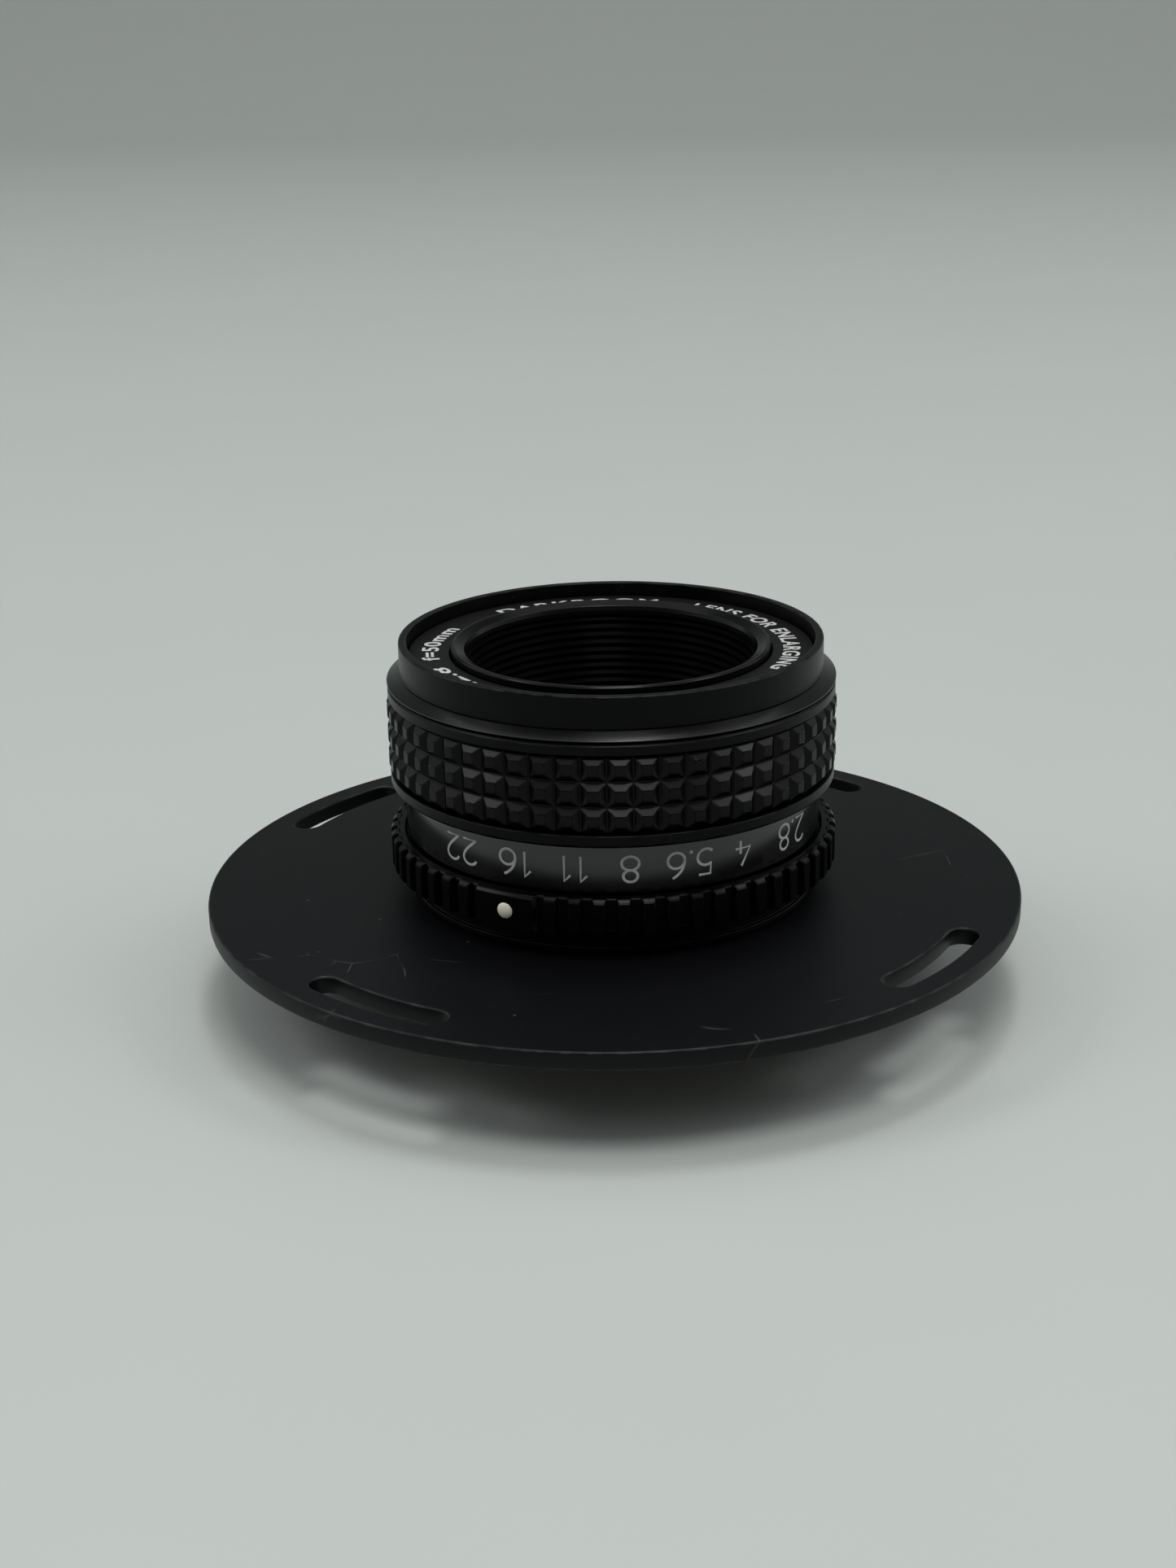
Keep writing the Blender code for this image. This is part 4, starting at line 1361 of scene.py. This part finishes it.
class LENS_OT_grip_ring(bpy.types.Operator):
    """Aperture ring: the turned ring under the rubber, with its two lips"""
    bl_idname = "lens.grip_ring"
    bl_label = "Grip ring"

    def execute(self, context):
        low, high, lip_r = span("grip_ring")
        rubber_low, rubber_high, _ = span("rubber_grip")
        band_high = span("scale_band")[1]
        bore = lip_r - 2.85 * MM
        under_band, under_rubber = lip_r - 2.1 * MM, lip_r - 1.45 * MM
        turned_piece("grip_ring", [
            (bore, low), (under_band, low), (under_band, band_high + 0.2 * MM),
            (lip_r - 0.35 * MM, band_high + 0.2 * MM, 0.06 * MM),
            (lip_r, band_high + 0.55 * MM, 0.06 * MM),
            (lip_r, rubber_low - 0.2 * MM, 0.10 * MM), (under_rubber, rubber_low - 0.2 * MM),
            (under_rubber, rubber_high + 0.2 * MM), (lip_r, rubber_high + 0.2 * MM, 0.08 * MM),
            (lip_r, high - 0.25 * MM, 0.06 * MM), (lip_r - 0.25 * MM, high, 0.06 * MM),
            (bore, high),
        ], satin_black(), body=TURNING, steps=320)
        return {"FINISHED"}


class LENS_OT_rubber_grip(bpy.types.Operator):
    """Rubber sleeve with rows of raised squares"""
    bl_idname = "lens.rubber_grip"
    bl_label = "Rubber grip"

    def square(self, sizes, groove_r, crest_r, row_pitch):
        """One raised square, made at angle 0 and centred on height 0."""
        column_pitch = 2 * math.pi * groove_r / sizes.columns
        wide, tall = (column_pitch - sizes.groove) / 2, (row_pitch - sizes.groove) / 2
        flat = sizes.flat / 2
        form = bmesh.new()
        rows = []
        levels = ((groove_r - 0.35 * MM, wide, tall), (groove_r + 0.02 * MM, wide, tall),
                  (crest_r, flat, flat))
        for x, y, z in levels:
            rows.append([form.verts.new((x, a * y, b * z))
                         for a, b in ((-1, -1), (1, -1), (1, 1), (-1, 1))])
        for lower, upper in zip(rows, rows[1:]):
            for i in range(4):
                j = (i + 1) % 4
                form.faces.new((lower[i], lower[j], upper[j], upper[i]))
        form.faces.new(rows[0][::-1])
        form.faces.new(rows[-1])
        soft = [e for e in form.edges if any(v.co.x > groove_r + 0.3 * MM for v in e.verts)]
        bmesh.ops.bevel(form, geom=soft, offset=0.06 * MM, segments=2, affect="EDGES")
        mark = form.verts.layers.float.new("rub")
        for vert in form.verts:
            vert[mark] = 1.0 if vert.co.x > crest_r - 0.06 * MM else 0.0
        return mesh_of(form, "square")

    def execute(self, context):
        sizes = context.scene.lens_grip
        low, high, crest_r = span("rubber_grip")
        bore = crest_r - 1.45 * MM
        groove_r = crest_r - sizes.depth
        turned_piece("rubber_grip", [(bore, low), (groove_r, low), (groove_r, high),
                                     (bore, high)],
                     rubber_black(), body=TURNING, steps=224)
        row_pitch = (high - low) / sizes.rows
        square = add_object("square", self.square(sizes, groove_r, crest_r, row_pitch))
        squares = grown(ring_tree(), Shape=square, Rows=sizes.rows, Columns=sizes.columns,
                        First_Angle=sizes.first_angle + math.pi / sizes.columns,
                        Low=low + row_pitch / 2, Row_Pitch=row_pitch, Material=rubber_black())
        bpy.data.objects.remove(square)
        soften(squares)
        add_piece("rubber_grip_squares", squares, rubber_black(), TURNING)
        return {"FINISHED"}


class LENS_OT_scale(bpy.types.Operator):
    """Glossy band with the aperture numbers"""
    bl_idname = "lens.scale"
    bl_label = "Aperture scale"

    STOPS = (("22", -134.1), ("16", -116.4), ("11", -100.3), ("8", -85.7), ("5.6", -69.6),
             ("4", -54.0), ("2.8", -33.8))
    PROUD = 0.16

    def execute(self, context):
        sizes = context.scene.lens_scale
        low, high, radius = span("scale_band")
        bore = radius - 0.35 * MM
        turned_piece("scale_band", [(bore, low), (radius, low), (radius, high), (bore, high)],
                     gloss_black(), body=TURNING, steps=320, radius=0.06 * MM)
        half = sizes.stroke / 2
        wide, tall = sizes.width - sizes.stroke, sizes.height - sizes.stroke
        feet = high - sizes.baseline
        numbers = []
        for text, centre in self.STOPS:
            strokes, x = [], 0.0
            for i, figure in enumerate(text):
                made, advance = figure_strokes(figure, wide, tall)
                strokes += [[(x + a, b) for a, b in stroke] for stroke in made]
                x += advance
                if i < len(text) - 1:
                    x += sizes.space
            mesh = stroke_mesh(strokes, half)
            for vert in mesh.vertices:
                a, b, proud = vert.co
                angle = math.radians(centre) - (a - x / 2) / radius
                vert.co = polar(radius + 0.005 * MM + proud * self.PROUD, angle, feet - half - b)
            numbers.append(mesh)
        mesh = joined(numbers, "numbers")
        soften(mesh)
        add_piece("scale_numbers", mesh, number_paint(), TURNING)
        return {"FINISHED"}


# ---------------------------------------------------------------- stage

class LENS_OT_stage(bpy.types.Operator):
    """Pale floor that sweeps up behind, soft ceiling light and the camera"""
    bl_idname = "lens.stage"
    bl_label = "Stage"

    CAMERA_PLACE = (0.0, -0.24546, 0.10996)
    CAMERA_PITCH = -0.3401
    CAMERA_YAW = 0.0113
    CAMERA_ROLL = -0.0170
    CAMERA_LENS = 52.86

    def floor(self, settings):
        front, back, sweep, top, side = -1.2, 1.4, 0.9, 2.6, 2.5
        path = [(front, 0.0), (back, 0.0)]
        path += [(back + sweep * math.sin(a), sweep * (1 - math.cos(a)))
                 for a in (math.pi / 2 * i / 24 for i in range(1, 25))]
        path.append((back + sweep, top))
        form = bmesh.new()
        rows = [[form.verts.new((x, y, z)) for x in (-side, side)] for y, z in path]
        for near, far in zip(rows, rows[1:]):
            form.faces.new((near[0], near[1], far[1], far[0]))
        mesh = bpy.data.meshes.new("floor")
        form.to_mesh(mesh)
        form.free()
        mesh.shade_smooth()
        material = bpy.data.materials.new("Pale tabletop")
        material.use_nodes = True
        tree = material.node_tree
        shader = tree.nodes["Principled BSDF"]
        place = add_node(tree, "ShaderNodeTexCoord").outputs["Object"]
        shade = add_node(tree, "ShaderNodeMix", data_type="RGBA")
        shade.inputs["A"].default_value = [c * 0.97 for c in settings.floor[:3]] + [1.0]
        shade.inputs["B"].default_value = settings.floor
        tree.links.new(noise_node(tree, place, 30.0, 4.0), shade.inputs["Factor"])
        tree.links.new(shade.outputs["Result"], shader.inputs["Base Color"])
        shader.inputs["Roughness"].default_value = 0.5
        shader.inputs["Specular IOR Level"].default_value = 0.3
        mesh.materials.append(material)
        add_object("floor", mesh)

    def panel_light(self, name, direction, distance, size, power, shine=1.0):
        light = bpy.data.lights.new(name, "AREA")
        light.shape = "RECTANGLE"
        light.size, light.size_y = size
        light.energy = power
        light.specular_factor = shine
        lamp = add_object(name, light)
        away = Vector(direction).normalized()
        lamp.location = away * distance
        lamp.rotation_mode = "QUATERNION"
        lamp.rotation_quaternion = away.to_track_quat("Z", "Y")

    def room(self, settings):
        """Pale light from all round, dim where somebody stands in front of the lens."""
        world = bpy.data.worlds.new("Pale room")
        world.use_nodes = True
        tree = world.node_tree
        shader = tree.nodes["Background"]
        shader.inputs["Color"].default_value = (0.96, 1.0, 0.98, 1.0)
        parts = add_node(tree, "ShaderNodeSeparateXYZ")
        tree.links.new(add_node(tree, "ShaderNodeTexCoord").outputs["Generated"],
                       parts.inputs[0])
        front = ramp_node(tree, parts.outputs["Y"], -0.15, -0.70)
        low = ramp_node(tree, parts.outputs["Z"], 0.80, 0.40)
        dim = math_node(tree, "MULTIPLY", math_node(tree, "MULTIPLY", front, low), -0.96)
        level = math_node(tree, "MULTIPLY", math_node(tree, "ADD", dim, 1.0), settings.sky)
        tree.links.new(level, shader.inputs["Strength"])
        return world

    def camera(self):
        lens = bpy.data.cameras.new("camera")
        lens.lens = self.CAMERA_LENS
        lens.sensor_width = 36.0
        lens.clip_start = 0.01
        eye = add_object("camera", lens)
        pitch, yaw, roll = self.CAMERA_PITCH, self.CAMERA_YAW, self.CAMERA_ROLL
        eye.matrix_world = (Matrix.Translation(self.CAMERA_PLACE) @ Matrix.Rotation(yaw, 4, "Z")
                            @ Matrix.Rotation(math.pi / 2 + pitch, 4, "X")
                            @ Matrix.Rotation(roll, 4, "Z"))
        bpy.context.scene.camera = eye

    def execute(self, context):
        settings = context.scene.lens_stage
        self.floor(settings)
        self.panel_light("key_panel", (0.07, -0.38, 1.0), 1.4, (0.50, 0.45), settings.key, 0.1)
        self.panel_light("back_panel", (0.06, 0.16, 1.0), 1.6, (0.25, 0.40), settings.back)
        self.panel_light("left_panel", (-0.71, -0.07, 0.70), 1.5, (0.45, 0.45), settings.side)
        self.panel_light("right_panel", (0.71, -0.07, 0.70), 1.5, (0.45, 0.45), settings.side)
        context.scene.world = self.room(settings)
        context.scene.view_settings.view_transform = "Standard"
        self.camera()
        return {"FINISHED"}


class LENS_PT_builder(bpy.types.Panel):
    """Buttons that build the lens piece by piece"""
    bl_idname = "LENS_PT_builder"
    bl_label = "Enlarger lens"
    bl_space_type = "VIEW_3D"
    bl_region_type = "UI"
    bl_category = "Lens"

    def draw(self, context):
        for operator in OPERATORS:
            self.layout.operator(operator.bl_idname)


OPERATORS = (LENS_OT_stage, LENS_OT_board, LENS_OT_jam_ring, LENS_OT_barrel, LENS_OT_index_ring,
             LENS_OT_front_shell, LENS_OT_name_ring, LENS_OT_mouth, LENS_OT_cells,
             LENS_OT_glass, LENS_OT_iris, LENS_OT_click, LENS_OT_grip_ring,
             LENS_OT_rubber_grip, LENS_OT_scale)
SETTINGS = {"lens_finishes": LensFinishes, "lens_grip": GripSizes, "lens_index": IndexSizes,
            "lens_scale": ScaleSizes, "lens_name": NameSizes, "lens_baffle": BaffleSizes,
            "lens_stage": StageSettings}


def register():
    for group in SETTINGS.values():
        bpy.utils.register_class(group)
    for name, group in SETTINGS.items():
        setattr(bpy.types.Scene, name, PointerProperty(type=group))
    for operator in OPERATORS:
        bpy.utils.register_class(operator)
    bpy.utils.register_class(LENS_PT_builder)


def unregister():
    bpy.utils.unregister_class(LENS_PT_builder)
    for operator in reversed(OPERATORS):
        bpy.utils.unregister_class(operator)
    for name, group in SETTINGS.items():
        delattr(bpy.types.Scene, name)
        bpy.utils.unregister_class(group)


def main():
    register()
    for operator in OPERATORS:
        group, _, call = operator.bl_idname.partition(".")
        getattr(getattr(bpy.ops, group), call)()


if __name__ == "__main__":
    main()
